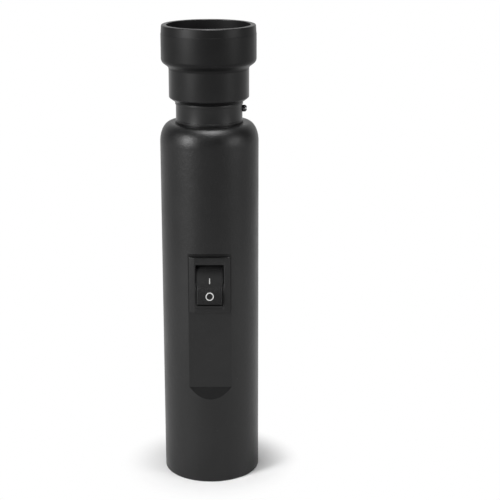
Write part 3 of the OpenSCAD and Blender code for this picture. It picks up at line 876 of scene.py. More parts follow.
@dataclass
class Handle:
    """The handle tube with its shoulder and the sunk flat."""

    finishes: Finishes
    radius: float = 18.0
    bore: float = 16.0
    straight: float = 128.25
    shoulder: Pair = (4.0, 7.0)
    foot_round: float = 0.5
    neck_hole: float = 12.2
    flat: float = 16.17
    panel: float = 2.0
    flat_low: float = 38.0
    flat_top: float = 89.4
    runout: float = 4.4
    ledge_draft: float = 0.3
    pad_top: float = 92.8
    opening: Triple = (6.5, 68.5, 87.5)
    lip_round: float = 0.2
    soft_edge: float = 0.12
    skin: float = 0.03
    rows_below: Pair = (12.0, 24.0)
    rows_above: Pair = (102.0, 116.0)
    lip_steps: int = 4
    front_steps: int = 26
    edge_steps: int = 3
    back_steps: int = 150

    def front_columns(self) -> list[float]:
        """Lists the columns across the flat, with one on each edge of the switch opening.

        Returns:
            The x of each column from left to right.
        """
        edge = math.sqrt(self.radius ** 2 - self.flat ** 2)
        half = self.opening[0]
        outer = [edge + (half - edge) * i / self.edge_steps for i in range(self.edge_steps)]
        inner = [half * (1 - 2 * i / self.front_steps) for i in range(self.front_steps + 1)]
        return [-x for x in outer] + [-x for x in inner] + list(reversed(outer))

    def ring(self, radius: float) -> list[Pair]:
        """Makes one ring of points: the front columns by x, the rest by even angle.

        Args:
            radius: Radius of the ring.

        Returns:
            The points in order.
        """
        front = self.front_columns()
        points = [(x, -math.sqrt(radius ** 2 - x ** 2)) for x in front]
        first = math.asin(front[-1] / radius)
        sweep = 2 * math.pi - 2 * first
        for i in range(1, self.back_steps):
            a = first + sweep * i / self.back_steps
            points.append((radius * math.sin(a), -radius * math.cos(a)))
        return points

    def front_limit(self, z: float) -> float:
        """Tells how far the front may reach: to the flat, its runout or the round.

        Args:
            z: The height.

        Returns:
            The reach from the axis.
        """
        low = self.flat_low - self.runout
        if z < low or z > self.flat_top:
            return self.radius
        share = min(1.0, (z - low) / self.runout)
        return self.radius + (self.flat - self.radius) * share

    def runout_rows(self) -> list[float]:
        """Lists where the runout's border crosses the front columns.

        Returns:
            The heights.
        """
        rows = []
        for x in self.front_columns():
            if x >= 0:
                share = (self.radius - math.sqrt(self.radius ** 2 - x ** 2)) / (self.radius - self.flat)
                rows.append(self.flat_low - self.runout * (1 - share))
        return rows

    def rows(self) -> tuple[list[Triple], dict[str, int]]:
        """Lists the rows of the wall.

        Returns:
            Radius, height and front limit of each row from the foot's inner edge round the section, and
            the numbers of the rows at the switch opening and at the ledge over the flat.
        """
        free, inside = self.radius, self.flat - self.panel
        low, wall = self.flat_low - self.runout, self.radius - self.bore
        run, rise = self.shoulder
        crown, lip_r = self.straight + rise, self.neck_hole + self.lip_round
        foot = arc((free - self.foot_round, self.foot_round), self.foot_round, -90, 0, ARC_STEPS)
        below = [(self.bore, 0.0), *foot, *((free, z) for z in self.rows_below)]
        rows: list[Triple] = [(r, z, free) for r, z in below]
        rows += [(free, z, self.front_limit(z)) for z in self.runout_rows()]
        marks = {"out_low": len(rows), "out_high": len(rows) + 1}
        rows += [(free, z, self.flat) for z in (*self.opening[1:], self.flat_top)]
        marks["ledge"] = len(rows)
        shoulder = oval((free - run, self.straight), run, rise, 3 * ARC_STEPS)
        lip = arc((lip_r, crown - self.lip_round), self.lip_round, 90, 180, self.lip_steps)
        inner = oval((free - run, self.straight), run - wall, rise - wall, 2 * ARC_STEPS)
        above = [*((free, z) for z in (self.flat_top, *self.rows_above)), *shoulder, (lip_r, crown), *lip,
                 (self.neck_hole, crown - wall), *reversed(inner), (self.bore, self.pad_top)]
        rows += [(r, z, free) for r, z in above]
        rows.append((self.bore, self.pad_top, inside))
        marks["in_high"], marks["in_low"] = len(rows), len(rows) + 1
        rows += [(self.bore, z, inside) for z in (*reversed(self.opening[1:]), low)]
        rows.append((self.bore, low, free))
        return rows, marks

    def wall(self) -> MeshData:
        """Makes the wall, with the opening for the switch.

        Returns:
            Points and faces.
        """
        rows, marks = self.rows()
        points: list[Triple] = []
        for i, (radius, z, limit) in enumerate(rows):
            draft = self.ledge_draft if i == marks["ledge"] else 0.0
            points += [(x, max(y, -limit), z + draft * max(0.0, -y - self.flat))
                       for x, y in self.ring(radius)]
        count = len(points) // len(rows)
        first = self.edge_steps
        last = first + self.front_steps
        half = (2 * self.edge_steps + self.front_steps) // 2
        gaps = {(marks[k], c) for k in ("out_low", "in_high") for c in range(first, last)}
        faces: list[tuple[int, ...]] = []
        for i in range(len(rows)):
            low, high = i * count, (i + 1) % len(rows) * count
            for c in range(count):
                n = (c + 1) % count
                if (i, c) in gaps:
                    continue
                if c < half:
                    faces += [(low + c, low + n, high + c), (low + n, high + n, high + c)]
                elif c < 2 * half:
                    faces += [(low + c, low + n, high + n), (low + c, high + n, high + c)]
                else:
                    faces.append((low + c, low + n, high + n, high + c))
        for level in ("low", "high"):
            for c in range(first, last):
                a, b = marks["out_" + level] * count + c, marks["in_" + level] * count + c
                faces.append((a, a + 1, b + 1, b))
        for c in (first, last):
            faces.append(tuple(marks[k] * count + c for k in ("out_low", "out_high", "in_high", "in_low")))
        return points, faces

    def build(self) -> None:
        """Builds the tube."""
        tube = make_piece("handle_tube", self.wall(), self.finishes.handle)
        low, inner = self.flat_low - self.runout, self.radius - self.skin
        # The runout ramp's faces take the duller copy of the handle plastic: painted shade
        paint_faces(tube, self.finishes.runout, lambda at: low < at.z < self.flat_low and at.y < -self.flat
                    and math.hypot(at.x, at.y) < inner)
        soften_edges(tube, self.soft_edge)
        settle(tube, Body.LAMP, "handle_plastic", "body_shell")


@dataclass
class Neck:
    """The neck tube and the small screw in its side."""

    finishes: Finishes
    radius: float = 12.1
    bore: float = 10.1
    window: float = 9.3
    flange: Triple = (15.9, 126.25, 128.25)
    flange_round: Pair = (1.9, 4.9)
    foot: Triple = (12.3, 135.25, 136.25)
    seat: Triple = (12.35, 141.9, 142.8)
    top: float = 155.5
    lip: float = 0.9
    flange_edge: float = 0.2
    foot_rounds: Triple = (0.06, 0.09, 0.1)
    seat_rounds: Triple = (0.1, 0.09, 0.08)
    lip_rounds: Triple = (0.3, 0.2, 0.1)
    screw_z: float = 140.1
    screw_head: Pair = (1.25, 1.6)
    screw_shank: Pair = (0.95, 4.0)
    screw_slot: Pair = (0.5, 0.6)
    screw_crown: float = 0.85

    def tube(self) -> list[Pair]:
        """Draws the half section of the tube.

        Returns:
            Its points in radius and height.
        """
        foot_r, foot_low, foot_top = self.foot
        seat_r, seat_low, seat_top = self.seat
        flange_r, flange_low, flange_z = self.flange
        run, rise = self.flange_round
        shoulder = oval((flange_r - run, flange_z), run, rise, 2 * ARC_STEPS)
        return rounded([
            (self.bore, flange_low, 0), (flange_r, flange_low, self.flange_edge),
            *((r, z, 0.0) for r, z in shoulder), (self.radius, flange_z + rise, 0),
            (self.radius, foot_low, 0), (foot_r, foot_low, self.foot_rounds[0]),
            (foot_r, foot_top, self.foot_rounds[1]), (self.radius, foot_top, self.foot_rounds[2]),
            (self.radius, seat_low, self.seat_rounds[0]), (seat_r, seat_low, self.seat_rounds[1]),
            (seat_r, seat_top, self.seat_rounds[2]), (self.radius, seat_top, 0),
            (self.radius, self.top, self.lip_rounds[0]), (self.window, self.top, self.lip_rounds[1]),
            (self.window, self.top - self.lip, self.lip_rounds[2]), (self.bore, self.top - self.lip, 0)])

    def build(self) -> None:
        """Builds the tube and the screw."""
        settle_turned("neck_tube_smooth", self.tube(), self.finishes.neck, "neck_plastic", "neck_tube")
        data = slotted_screw(*self.screw_head, *self.screw_shank, *self.screw_slot, self.screw_crown)
        place = Matrix.Translation((self.radius, 0, self.screw_z)) @ Matrix.Rotation(QUARTER, 4, "Y")
        place = place @ Matrix.Rotation(QUARTER, 4, "Z")
        screw = make_piece("neck_screw_slotted", data, self.finishes.dark_steel, place)
        settle(screw, Body.LAMP, "steel", "neck_screw")


def slotted_screw(head_r: float, head_h: float, shank_r: float, shank_len: float, slot_w: float,
                  slot_h: float, crown: float, tip: float = 0.3, under: float = 0.05,
                  steps: int = 48) -> MeshData:
    """Makes a slotted screw along +Z with the underside of its head at the origin.

    Args:
        head_r: Radius of the head.
        head_h: Height of the head.
        shank_r: Radius of the shank.
        shank_len: Length of the shank.
        slot_w: Width of the slot.
        slot_h: Depth of the slot.
        crown: Rounding of the head's outer edge.
        tip: Size of the slope at the shank's end.
        under: Rounding of the head's lower edge.
        steps: Number of sides.

    Returns:
        Points and faces.
    """
    outline = rounded([
        (0, -shank_len, 0), (shank_r - tip, -shank_len, 0), (shank_r, -shank_len + tip, 0), (shank_r, 0, 0),
        (head_r, 0, under), (head_r, head_h, crown), (0, head_h, 0)], EDGE_STEPS)
    body = make_mesh("screw_body", turned(outline, steps))
    tidy_mesh(body)
    x, y, low, high = 2 * head_r, slot_w / 2, head_h - slot_h, head_h + OVERRUN
    corners = [(u * x, v * y, z) for z in (low, high) for u, v in CORNERS]
    sides = [(k, (k + 1) % 4, (k + 1) % 4 + 4, k + 4) for k in range(4)]
    cutter = make_mesh("screw_cutter", (corners, [(3, 2, 1, 0), (4, 5, 6, 7), *sides]))
    holder, knife = add_object("screw_holder", body), add_object("screw_knife", cutter)
    cut = holder.modifiers.new("slot", "BOOLEAN")
    cut.operation, cut.object, cut.solver = "DIFFERENCE", knife, "EXACT"
    result = evaluated_mesh(holder)
    data = [tuple(v.co) for v in result.vertices], [tuple(f.vertices) for f in result.polygons]
    for thing in (holder, knife):
        bpy.data.objects.remove(thing)
    return data


@dataclass
class EggCup:
    """The soft cup that an egg is held against."""

    finishes: Finishes
    low: float = 142.8
    height: float = 27.62
    radius: float = 17.25
    mouth: float = 15.15
    bore: float = 12.2
    collar: float = 14.55
    collar_h: float = 12.55
    bevel: Pair = (0.2, 1.6)
    fillet: float = 1.5
    heel: Pair = (14.55, 2.2)
    rim: Triple = (16.98, 0.4, 0.2)
    grip: float = 12.7
    ledge: Pair = (10.3, 2.6)
    line: Triple = (3.2, 0.16, 0.07)
    line_round: float = 0.03
    foot_rounds: Triple = (0.1, 0.08, 0.6)
    floor_rounds: Triple = (0.6, 0.4, 0.2)
    rim_band: float = 0.25
    skin: float = 0.1

    def section(self) -> list[Pair]:
        """Draws the half section.

        Returns:
            Its points in radius and height over the lower edge.
        """
        heel_z, heel_r = self.heel
        rim_r, rim_round, mouth_round = self.rim
        floor = self.grip + self.ledge[1]
        line_z, line_h, line_depth = self.height - self.line[0], self.line[1], self.line[2]
        return rounded([
            (self.bore, 0, self.foot_rounds[0]), (self.bore + self.bevel[0], 0, self.foot_rounds[1]),
            (self.collar, self.bevel[1], self.foot_rounds[2]), (self.collar, self.collar_h, self.fillet),
            (self.radius, heel_z, heel_r), (self.radius, line_z, self.line_round),
            (self.radius - line_depth, line_z + line_h, self.line_round),
            (rim_r, self.height, rim_round), (self.mouth, self.height, mouth_round),
            (self.mouth, floor, self.floor_rounds[0]), (self.ledge[0], floor, self.floor_rounds[1]),
            (self.ledge[0], self.grip, self.floor_rounds[2]), (self.bore, self.grip, 0)])

    def build(self) -> None:
        """Builds the cup."""
        outline = [(r, z + self.low) for r, z in self.section()]
        cup = make_piece("egg_cup_soft", turned(outline), self.finishes.cup)
        top = self.low + self.height - self.rim_band
        floor = self.low + self.grip + self.ledge[1] - self.skin
        step = self.low + self.collar_h - self.fillet
        # The faces inside the cup take the duller copy of its rubber: painted shade
        paint_faces(cup, self.finishes.cup_inside,
                    lambda at: floor < at.z < top and math.hypot(at.x, at.y) < self.mouth + self.skin)
        # The rim's top faces take the glossier copy of the cup rubber: painted highlight
        paint_faces(cup, self.finishes.cup_rim, lambda at: at.z >= top)
        # The collar's faces take the glossier copy of the cup rubber: painted sheen
        paint_faces(cup, self.finishes.cup_collar,
                    lambda at: at.z < step and math.hypot(at.x, at.y) > self.bore + self.skin)
        settle(cup, Body.CUP, "cup_rubber", "egg_cup")


@dataclass
class LightUnit:
    """Window, seal, reflector, light source, board and heat sink."""

    finishes: Finishes
    radius: float = 10.0
    lens: Pair = (153.0, 154.6)
    bowl: Pair = (146.4, 152.0)
    bowl_foot: float = 3.4
    bowl_mouth: float = 8.6
    bowl_wall: float = 0.7
    bowl_rim: float = 0.8
    base: Pair = (2.6, 0.8)
    dome: float = 1.7
    edge_round: float = 0.15
    edge_steps: int = 4
    bowl_steps: int = 28
    dome_steps: int = 16
    source_steps: int = 64

    def bowl_section(self) -> list[Pair]:
        """Draws the half section of the reflector: a parabola with a flat rim.

        Returns:
            Its points in radius and height.
        """
        low, top = self.bowl
        rise = top - low - self.bowl_rim
        span = self.bowl_mouth - self.bowl_foot
        inner = []
        for i in range(self.bowl_steps + 1):
            share = i / self.bowl_steps
            r = self.bowl_foot + span * share
            inner.append((r, low + rise * share * (r + self.bowl_foot) / (self.bowl_mouth + self.bowl_foot)))
        outer = [(r + self.bowl_wall, z) for r, z in reversed(inner)]
        rim = [(self.bowl_mouth, top), (self.radius, top), (self.radius, top - self.bowl_rim)]
        return inner + rim + outer

    def build(self) -> None:
        """Builds what shows through the window and dresses what lies under it."""
        finishes, edge = self.finishes, self.edge_round
        low, top = self.lens
        window = rounded([(0, low, 0), (self.radius, low, edge), (self.radius, top, edge), (0, top, 0)],
                         self.edge_steps)
        foot, base_r = self.bowl[0], self.base[0]
        seat = foot + self.base[1]
        base = rounded([(0, foot, 0), (base_r, foot, 0), (base_r, seat, edge), (0, seat, 0)], self.edge_steps)
        dome = [(0.0, seat)] + arc((0, seat), self.dome, 0, 90, self.dome_steps)
        settle_turned("lens_window", window, finishes.window, "lens_clear", "lens")
        settle_turned("reflector_bowl", self.bowl_section(), finishes.mirror, "reflector_bright", "reflector")
        settle_turned("led_base", base, finishes.ceramic, "led_ceramic", "led_package", self.source_steps)
        settle_turned("led_dome_clear", dome, finishes.phosphor, "led_silicone", "led_dome",
                      self.source_steps)
        dress_nodes(finishes.seal, "lens_seal")
        dress_nodes(finishes.board, "led_board")
        dress_nodes(finishes.steel, "board_screws")
        dress_nodes(finishes.aluminium, "heat_sink")


@dataclass
class RockerSwitch:
    """The snap-in switch: housing, paddle, printed marks and the contacts inside."""

    finishes: Finishes
    plane: float = 16.17
    height: float = 78.0
    bezel: Triple = (15.0, 21.0, 1.5)
    edge: float = 0.75
    crest: Triple = (5.7, 10.42, 1.4)
    box: Triple = (12.8, 18.8, 12.0)
    floor: float = 1.4
    window: Pair = (10.2, 15.4)
    border: Triple = (0.4, 1.2, 0.2)
    sill_h: float = 1.0
    soft: float = 0.1
    box_round: float = 0.3
    bezel_round: float = 0.2
    edge_round: float = 0.15
    crest_round: float = 0.08
    border_round: float = 0.35
    slope_round: float = 0.25
    window_round: float = 0.2
    paddle_r: float = 7.55
    paddle_w: float = 9.86
    paddle_back: float = 2.2
    paddle_mid: float = 0.941
    paddle_crease: float = 30.0
    tilt: float = 12.0
    pinch: Triple = (0.34, 1.2, -2.0)
    dip_round: float = 6.0
    end_round: float = 0.4
    bend: Pair = (2.9, 1.8)
    side_round: float = 0.18
    seam: float = 0.2
    hinge: Triple = (0.9, 4.8, 5.85)
    stem: Triple = (1.25, 2.0, 4.4)
    stem_sink: float = 0.2
    spring: Four = (5.0, 0.95, 2.7, 0.15)
    spring_low: float = 2.95
    pinch_steps: int = 8
    side_steps: int = 6
    end_steps: int = 12
    dip_steps: int = 10
    pin_steps: int = 32

    def place(self) -> Matrix:
        """Returns the switch's own axes, x, v up and w out of the flat, in the lamp."""
        return Matrix.Translation((0, -self.plane, self.height)) @ Matrix.Rotation(QUARTER, 4, "X")

    def housing_steps(self) -> list[Four]:
        """Lists the rounded rectangles of the housing from the back of the box to its floor.

        Returns:
            Half width, half height, corner radius and level of each.
        """
        bezel_w, bezel_h, bezel_t = self.bezel[0] / 2, self.bezel[1] / 2, self.bezel[2]
        box_w, box_h, box_d = self.box[0] / 2, self.box[1] / 2, self.box[2]
        win_w, win_h = self.window[0] / 2, self.window[1] / 2
        side, end, slope_d = self.border
        crest_w, crest_h, crest_t = self.crest
        soft = self.soft
        return [
            (box_w, box_h, self.box_round, -box_d),
            (box_w, box_h, self.box_round, 0.0),
            (bezel_w, bezel_h, self.bezel_round, 0.0),
            (bezel_w, bezel_h, self.bezel_round, self.edge - soft),
            (bezel_w - soft, bezel_h - soft / 2, self.edge_round, self.edge),
            (crest_w + soft, crest_h, self.crest_round, crest_t),
            (crest_w - soft, crest_h - 2 * soft, self.crest_round, crest_t + soft / 2),
            (win_w + side + soft, win_h + end + soft, self.border_round, bezel_t),
            (win_w + side - soft, win_h + end - soft, self.border_round, bezel_t - soft),
            (win_w + soft, win_h + soft, self.slope_round, bezel_t - slope_d + soft),
            (win_w, win_h, self.window_round, bezel_t - slope_d - soft),
            (win_w, win_h, self.window_round, -box_d + self.floor)]

    def housing(self) -> MeshData:
        """Makes the housing: the window's loops follow the paddle, and a sill stands at its lower end.

        Returns:
            Points and faces in the switch's own axes.
        """
        steps = self.housing_steps()
        slope_first, border_first = len(steps) - 3, len(steps) - 5
        sill_end = self.sill_h - self.window[1] / 2
        loops = []
        for i, (half_w, half_h, corner, w) in enumerate(steps):
            outline = self.pinched(rectangle(half_w, half_h, corner), half_w, i >= border_first)
            sill = self.border[2] - self.soft if i in (slope_first, slope_first + 1) else 0.0
            loops.append([(u, v, w + (sill if v < sill_end else 0.0)) for u, v in outline])
        return bridged(loops, closed=False)

    def narrowing(self, v: float) -> float:
        """Tells how far the sides of the paddle and its window stand in.

        Args:
            v: Height in the switch's own axes.

        Returns:
            The distance for one side.
        """
        depth, start, end = self.pinch
        share = min(max((start - v) / (start - end), 0.0), 1.0)
        return depth * share * share * (3 - 2 * share)

    def pinched(self, outline: list[Pair], half_w: float, narrow: bool) -> list[Pair]:
        """Adds points down both sides of a rectangle, and pulls in its lower half.

        Args:
            outline: The rectangle, from its lower left corner.
            half_w: Half of its width.
            narrow: Whether the lower half is pulled in.

        Returns:
            The new outline.
        """
        half, start, end = len(outline) // 2, self.pinch[1], self.pinch[2]
        sides = [end + (start - end) * i / self.pinch_steps for i in range(self.pinch_steps + 1)]
        points = outline[:half] + [(half_w, v) for v in sides] + outline[half:]
        points += [(-half_w, v) for v in reversed(sides)]
        if not narrow:
            return points
        return [(u - math.copysign(self.narrowing(v), u), v) for u, v in points]

    def paddle_section(self, inset: float) -> list[Pair]:
        """Draws the paddle's side view.

        Args:
            inset: How far it is pulled in.

        Returns:
            Its points in v and w.
        """
        r, soft = self.paddle_r - inset, self.end_round
        mid, back = self.paddle_mid - inset, self.paddle_back - inset
        slope = math.tan(math.radians(self.tilt))
        reach = (-mid * slope + math.sqrt(r * r * (1 + slope * slope) - mid * mid)) / (1 + slope * slope)
        low = math.degrees(math.asin(-back / r))
        inward = Vector((-1, -slope)).normalized()
        halves = []
        for length, drop in (self.bend, (2 * soft, 0.0)):
            rise = mid + slope * reach - drop
            tip = Vector((math.sqrt(r * r - rise * rise), rise))
            start = Vector((reach, mid + slope * reach)) + inward * length
            bow = start - inward * (length / 2)
            side = arc((0, 0), r, low, math.degrees(math.asin(rise / r) - soft / r), self.end_steps)
            turn = tip + (bow - tip).normalized() * soft
            half = side + eased(Vector(side[-1]), tip, turn, ARC_STEPS)
            halves.append(half + (eased(turn, bow, start, ARC_STEPS)[1:] if drop else []))
        upper, lower = halves
        after = (-lower[-1][0], lower[-1][1])
        dip = corner_arc(upper[-1], (0, mid), after, self.dip_round, self.dip_steps)
        return upper + dip + [(-v, w) for v, w in reversed(lower)]

    def paddle(self) -> MeshData:
        """Makes the paddle: narrower in its lower half, with rounded sides.

        Returns:
            Points and faces in the paddle's own axes.
        """
        half, soft = self.paddle_w / 2, self.side_round
        angles = [QUARTER * i / self.side_steps for i in range(self.side_steps + 1)]
        levels = [(half - soft * (1 - math.sin(a)), soft * (1 - math.cos(a))) for a in angles]
        stations = [(-x, inset) for x, inset in reversed(levels)] + levels
        loops = [[(x * (1 - self.narrowing(v) / half), v, w) for v, w in self.paddle_section(inset)]
                 for x, inset in stations]
        return bridged(loops, closed=False)

    def pins(self) -> MeshData:
        """Makes the two hinge pins and the hollow stem.

        Returns:
            Points and faces in the paddle's own axes.
        """
        stem_bore, stem_r, stem_end = self.stem
        pin = hollow(0, *self.hinge)
        stem = hollow(stem_bore, stem_r, -stem_end, -self.paddle_back + self.stem_sink)
        points: list[Triple] = []
        faces: list[tuple[int, ...]] = []
        for angle, outline in ((QUARTER, pin), (-QUARTER, pin), (0.0, stem)):
            turn = Matrix.Rotation(angle, 4, "Y")
            more, skins = turned(outline, self.pin_steps)
            base = len(points)
            points += [tuple(turn @ Vector(p)) for p in more]
            faces += [tuple(base + i for i in skin) for skin in skins]
        return points, faces

    def build_spring(self, tilted: Matrix) -> None:
        """Builds the coil spring behind the plunger.

        Args:
            tilted: The paddle's own axes, in millimetres.
        """
        turns, radius, height, wire = self.spring
        seed = turned([(0, 0), (wire, 0), (wire, wire)], ARC_STEPS)
        spring = make_piece("plunger_coil", seed, self.finishes.steel)
        lift = tilted @ Matrix.Translation((0, 0, -self.spring_low))
        lift.translation *= MM
        CopyTrees.run(spring, CopyTrees.coil(), {
            "Turns": turns, "Radius": radius * MM, "Height": height * MM, "Wire": wire * MM,
            "Finish": self.finishes.steel}, lift)
        settle(spring, Body.PADDLE, "steel", "plunger_spring")

    def build(self) -> None:
        """Builds the housing, the paddle and its spring, and dresses the marks and contacts."""
        place = self.place()
        housing = make_piece("switch_frame", self.housing(), self.finishes.switch, place)
        settle(housing, Body.LAMP, "switch_plastic", "switch_housing")
        tilted = place @ Matrix.Rotation(-math.radians(self.tilt), 4, "X")
        paddle = make_piece("rocker_paddle", self.paddle(), self.finishes.paddle, tilted,
                            math.radians(self.paddle_crease))
        # The paddle's lower half takes the shaded copy of its plastic: painted shade
        paint_faces(paddle, self.finishes.paddle_shaded_low, lambda at: at.z < self.height - self.seam)
        settle(paddle, Body.PADDLE, "switch_plastic", "rocker")
        pins = make_piece("rocker_pins", self.pins(), self.finishes.paddle, tilted)
        settle(pins, Body.PADDLE, "switch_plastic")
        self.build_spring(tilted)
        dress_nodes(self.finishes.mark, "rocker_marks")
        dress_nodes(self.finishes.brass, "switch_plunger", "contact_seesaw", "common_terminal",
                    "load_terminal")


@dataclass
class Base:
    """The plate in the foot, its screws and the power socket."""

    finishes: Finishes
    plate_low: float = 2.0
    screw_ring: float = 13.8
    screw_first: float = 90.0
    screw_count: int = 3
    screw_head: Pair = (2.0, 1.2)
    screw_shank: Pair = (1.0, 7.7)
    screw_slot: Pair = (0.6, 0.6)
    screw_gap: float = 0.1
    screw_crown: float = 0.3
    boss: Four = (1.05, 2.6, 4.5, 14.5)
    flange: Pair = (5.5, 1.2)
    barrel: Pair = (4.0, 13.0)
    bore: Pair = (2.9, 9.5)
    pin: Four = (1.05, 1.8, 13.0, 17.0)
    pin_tip: float = 0.5
    tail_share: float = 2 / 3
    tail_round: float = 0.1
    socket_rounds: Four = (0.25, 0.35, 0.05, 0.2)
    boss_steps: int = 40
    socket_steps: int = 96
    seed: int = 4

    def on_ring(self, name: str, data: MeshData, lift: Matrix, material: bpy.types.Material,
                swing: float) -> bpy.types.Object:
        """Sets copies of one mesh on the screw ring.

        Args:
            name: Name of the piece.
            data: Points and faces of one copy.
            lift: Where a copy stands on its spot, in millimetres.
            material: The finish.
            swing: Largest turn by chance, in radians.

        Returns:
            The piece with all the copies.
        """
        piece = make_piece(name, data, material, lift)
        return CopyTrees.run(piece, CopyTrees.ring(), {
            "Count": self.screw_count, "Radius": self.screw_ring * MM, "Swing": swing, "Seed": self.seed,
            "First": math.radians(self.screw_first), "Finish": material})

    def socket(self) -> list[Pair]:
        """Draws the half section of the power socket.

        Returns:
            Its points in radius and height.
        """
        flange_r, flange_t = self.flange
        barrel_r, barrel_top = self.barrel
        bore_r, bore_h = self.bore
        mouth, outer, upper, end = self.socket_rounds
        low = self.plate_low - flange_t
        return rounded([
            (0, low + bore_h, 0), (bore_r, low + bore_h, 0), (bore_r, low, mouth), (flange_r, low, outer),
            (flange_r, self.plate_low, upper), (barrel_r, self.plate_low, 0), (barrel_r, barrel_top, end),
            (0, barrel_top, 0)], EDGE_STEPS)

    def build(self) -> None:
        """Builds the screws, bosses and socket, and dresses the plate and the nut."""
        finishes = self.finishes
        seat = Matrix.Translation((0, 0, self.plate_low + self.screw_gap + self.screw_head[1]))
        upside = seat @ Matrix.Rotation(math.pi, 4, "X")
        screw = slotted_screw(*self.screw_head, *self.screw_shank, *self.screw_slot, self.screw_crown)
        screws = self.on_ring("base_screws_slotted", screw, upside, finishes.steel, math.pi)
        settle(screws, Body.LAMP, "steel", "base_screws")
        boss = turned(hollow(*self.boss), self.boss_steps)
        bosses = self.on_ring("screw_bosses", boss, Matrix.Identity(4), finishes.handle, 0.0)
        settle(bosses, Body.LAMP, "handle_plastic")
        settle_turned("power_socket", self.socket(), finishes.switch, "switch_plastic", "jack_socket",
                      self.socket_steps)
        pin_r, pin_low, pin_top, tail = self.pin
        tail_r = pin_r * self.tail_share
        pin = rounded([
            (0, pin_low, 0), (pin_r, pin_low, self.pin_tip), (pin_r, pin_top, 0), (tail_r, pin_top, 0),
            (tail_r, tail, self.tail_round), (0, tail, 0)], EDGE_STEPS)
        settle_turned("socket_pin", pin, finishes.steel, "steel", "jack_pin", self.boss_steps)
        dress_nodes(finishes.handle, "base_cap")
        dress_nodes(finishes.steel, "jack_washer", "jack_nut")
        dress_nodes(finishes.brass, "jack_contact")


@dataclass
class Wiring:
    """Wires and the resistor inside the handle."""

    finishes: Finishes

    def build(self) -> None:
        """Dresses the wires, the resistor and its sleeve."""
        dress_nodes(self.finishes.wire_red, "supply_wire", "switched_wires")
        dress_nodes(self.finishes.wire_black, "return_wire")
        dress_nodes(self.finishes.lacquer, "resistor")
        dress_nodes(self.finishes.sleeve, "resistor_sleeve")


@dataclass(frozen=True)
class Softbox:
    """One soft lamp of the studio."""

    name: str
    place: Triple
    size: Pair
    power: float
    sheen_only: bool = False
    aim: Triple = (0.0, 0.0, 0.09)

    def build(self) -> None:
        """Sets the lamp in its place, turned to its aim."""
        light = bpy.data.lights.new(self.name, "AREA")
        light.shape = "RECTANGLE"
        light.size, light.size_y = self.size
        light.energy = self.power
        lamp = add_object(self.name, light)
        lamp.location = self.place
        lamp.rotation_euler = (Vector(self.aim) - Vector(self.place)).to_track_quat("-Z", "Y").to_euler()
        lamp.visible_diffuse = not self.sheen_only


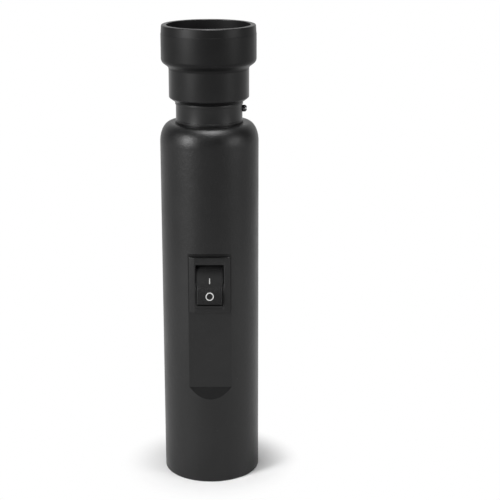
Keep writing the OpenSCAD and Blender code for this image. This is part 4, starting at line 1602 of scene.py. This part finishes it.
@dataclass
class Studio:
    """Floor with its sweep, lamps, world and camera."""

    floor_half: float = 3.0
    floor_mid: float = 0.5
    sweep_start: float = 1.2
    sweep_r: float = 0.9
    wall_top: float = 3.0
    sweep_steps: int = 24
    floor_tone: float = 0.86
    floor_rough: float = 0.9
    near: Pair = (0.016, 0.036)
    near_mirrored: Pair = (0.018, 0.052)
    ambient: float = 0.04
    lens: float = 96.6
    sensor: float = 36.0
    clip: Pair = (0.01, 20.0)
    camera_at: Triple = (0.01062, -0.48311, 0.2253)
    camera_tilt: float = 73.96
    camera_turn: float = -0.5
    boxes: list[Softbox] = field(default_factory=lambda: [
        Softbox("key_box", (-0.77, -0.58, 0.41), (0.32, 0.46), 16.5),
        Softbox("fill_box", (0.88, -0.46, 0.33), (0.3, 0.34), 5.2),
        Softbox("top_box", (0.05, -0.16, 1.1), (0.5, 0.7), 3.0),
        Softbox("top_sheen", (0.05, -0.16, 1.06), (0.5, 0.7), 26.0, True)])

    @staticmethod
    def rays(sheet: NodeSheet) -> tuple[bpy.types.NodeSocket, bpy.types.NodeSocket]:
        """Sorts the rays that reach a finish.

        Args:
            sheet: Where the nodes go.

        Returns:
            Whether a ray comes from the camera, and whether it was mirrored or let through.
        """
        path = sheet.add("ShaderNodeLightPath").outputs
        mirrored = sheet.math("MAXIMUM", path["Is Glossy Ray"], path["Is Transmission Ray"])
        return path["Is Camera Ray"], mirrored

    def floor_material(self) -> bpy.types.Material:
        """Builds the pale floor: lit near the lamp, and pure white further off for what is seen.

        Returns:
            The material.
        """
        material, sheet, shader, place = start_material("pale_floor")
        sheet.feed(shader, {"Base Color": (self.floor_tone,) * 3 + (1.0,), "Roughness": self.floor_rough,
                            "Specular IOR Level": 0.0})
        glow = sheet.add("ShaderNodeEmission", {"Color": WHITE})
        length = sheet.add("ShaderNodeVectorMath", {0: place}, operation="LENGTH").outputs["Value"]
        shares = [sheet.math("MULTIPLY", ray, sheet.span(length, reach, UNIT, smooth=True))
                  for ray, reach in zip(self.rays(sheet), (self.near, self.near_mirrored))]
        mix = sheet.add("ShaderNodeMixShader", {
            0: sheet.math("MAXIMUM", *shares), 1: shader.outputs[0], 2: glow.outputs[0]})
        sheet.feed(material.node_tree.nodes["Material Output"], {"Surface": mix.outputs[0]})
        return material

    def build_floor(self) -> None:
        """Builds the floor and the sweep behind the lamp as one sheet."""
        line = [(-self.floor_half, 0.0), (-self.floor_mid, 0.0), (self.floor_mid, 0.0)]
        line += arc((self.sweep_start, self.sweep_r), self.sweep_r, -90, 0, self.sweep_steps)
        line.append((self.sweep_start + self.sweep_r, self.wall_top))
        points = [(x, y, z) for y, z in line for x in (-self.floor_half, self.floor_half)]
        faces = [(2 * i, 2 * i + 1, 2 * i + 3, 2 * i + 2) for i in range(len(line) - 1)]
        mesh = make_mesh("floor_sweep", (points, faces))
        mesh.shade_smooth()
        mesh.materials.append(self.floor_material())
        floor = add_object("floor_sweep", mesh)

    def build_world(self) -> None:
        """Sets an even, low surround that is seen as white, as the floor is, past the floor's edge."""
        world = bpy.data.worlds.new("studio_surround")
        world.use_nodes = True
        sheet = NodeSheet(world.node_tree)
        seen, mirrored = self.rays(sheet)
        way = sheet.upward(sheet.add("ShaderNodeNewGeometry").outputs["Incoming"])
        falling = sheet.math("MULTIPLY", mirrored, sheet.math("GREATER_THAN", way, 0.0))
        white = sheet.math("MAXIMUM", seen, falling)
        sheet.feed(world.node_tree.nodes["Background"], {
            "Color": WHITE, "Strength": sheet.span(white, UNIT, (self.ambient, 1.0))})
        bpy.context.scene.world = world

    def build_camera(self) -> None:
        """Sets the camera where the photograph was taken from."""
        view = bpy.data.cameras.new("camera")
        view.lens = self.lens
        view.sensor_width = self.sensor
        view.clip_start, view.clip_end = self.clip
        camera = add_object("camera", view)
        camera.location = self.camera_at
        camera.rotation_euler = (math.radians(self.camera_tilt), 0.0, math.radians(self.camera_turn))
        bpy.context.scene.camera = camera

    def build(self) -> None:
        """Builds the studio."""
        self.build_floor()
        self.build_world()
        for box in self.boxes:
            box.build()
        self.build_camera()
        bpy.context.scene.view_settings.view_transform = "Standard"


def main() -> None:
    """Builds the studio and every sub-assembly in order."""
    logging.basicConfig(level=logging.INFO, format="%(name)s: %(message)s")
    Studio().build()
    finishes = Finishes()
    for unit in (Handle, Neck, EggCup, LightUnit, RockerSwitch, Base, Wiring):
        unit(finishes).build()


if __name__ == "__main__":
    main()
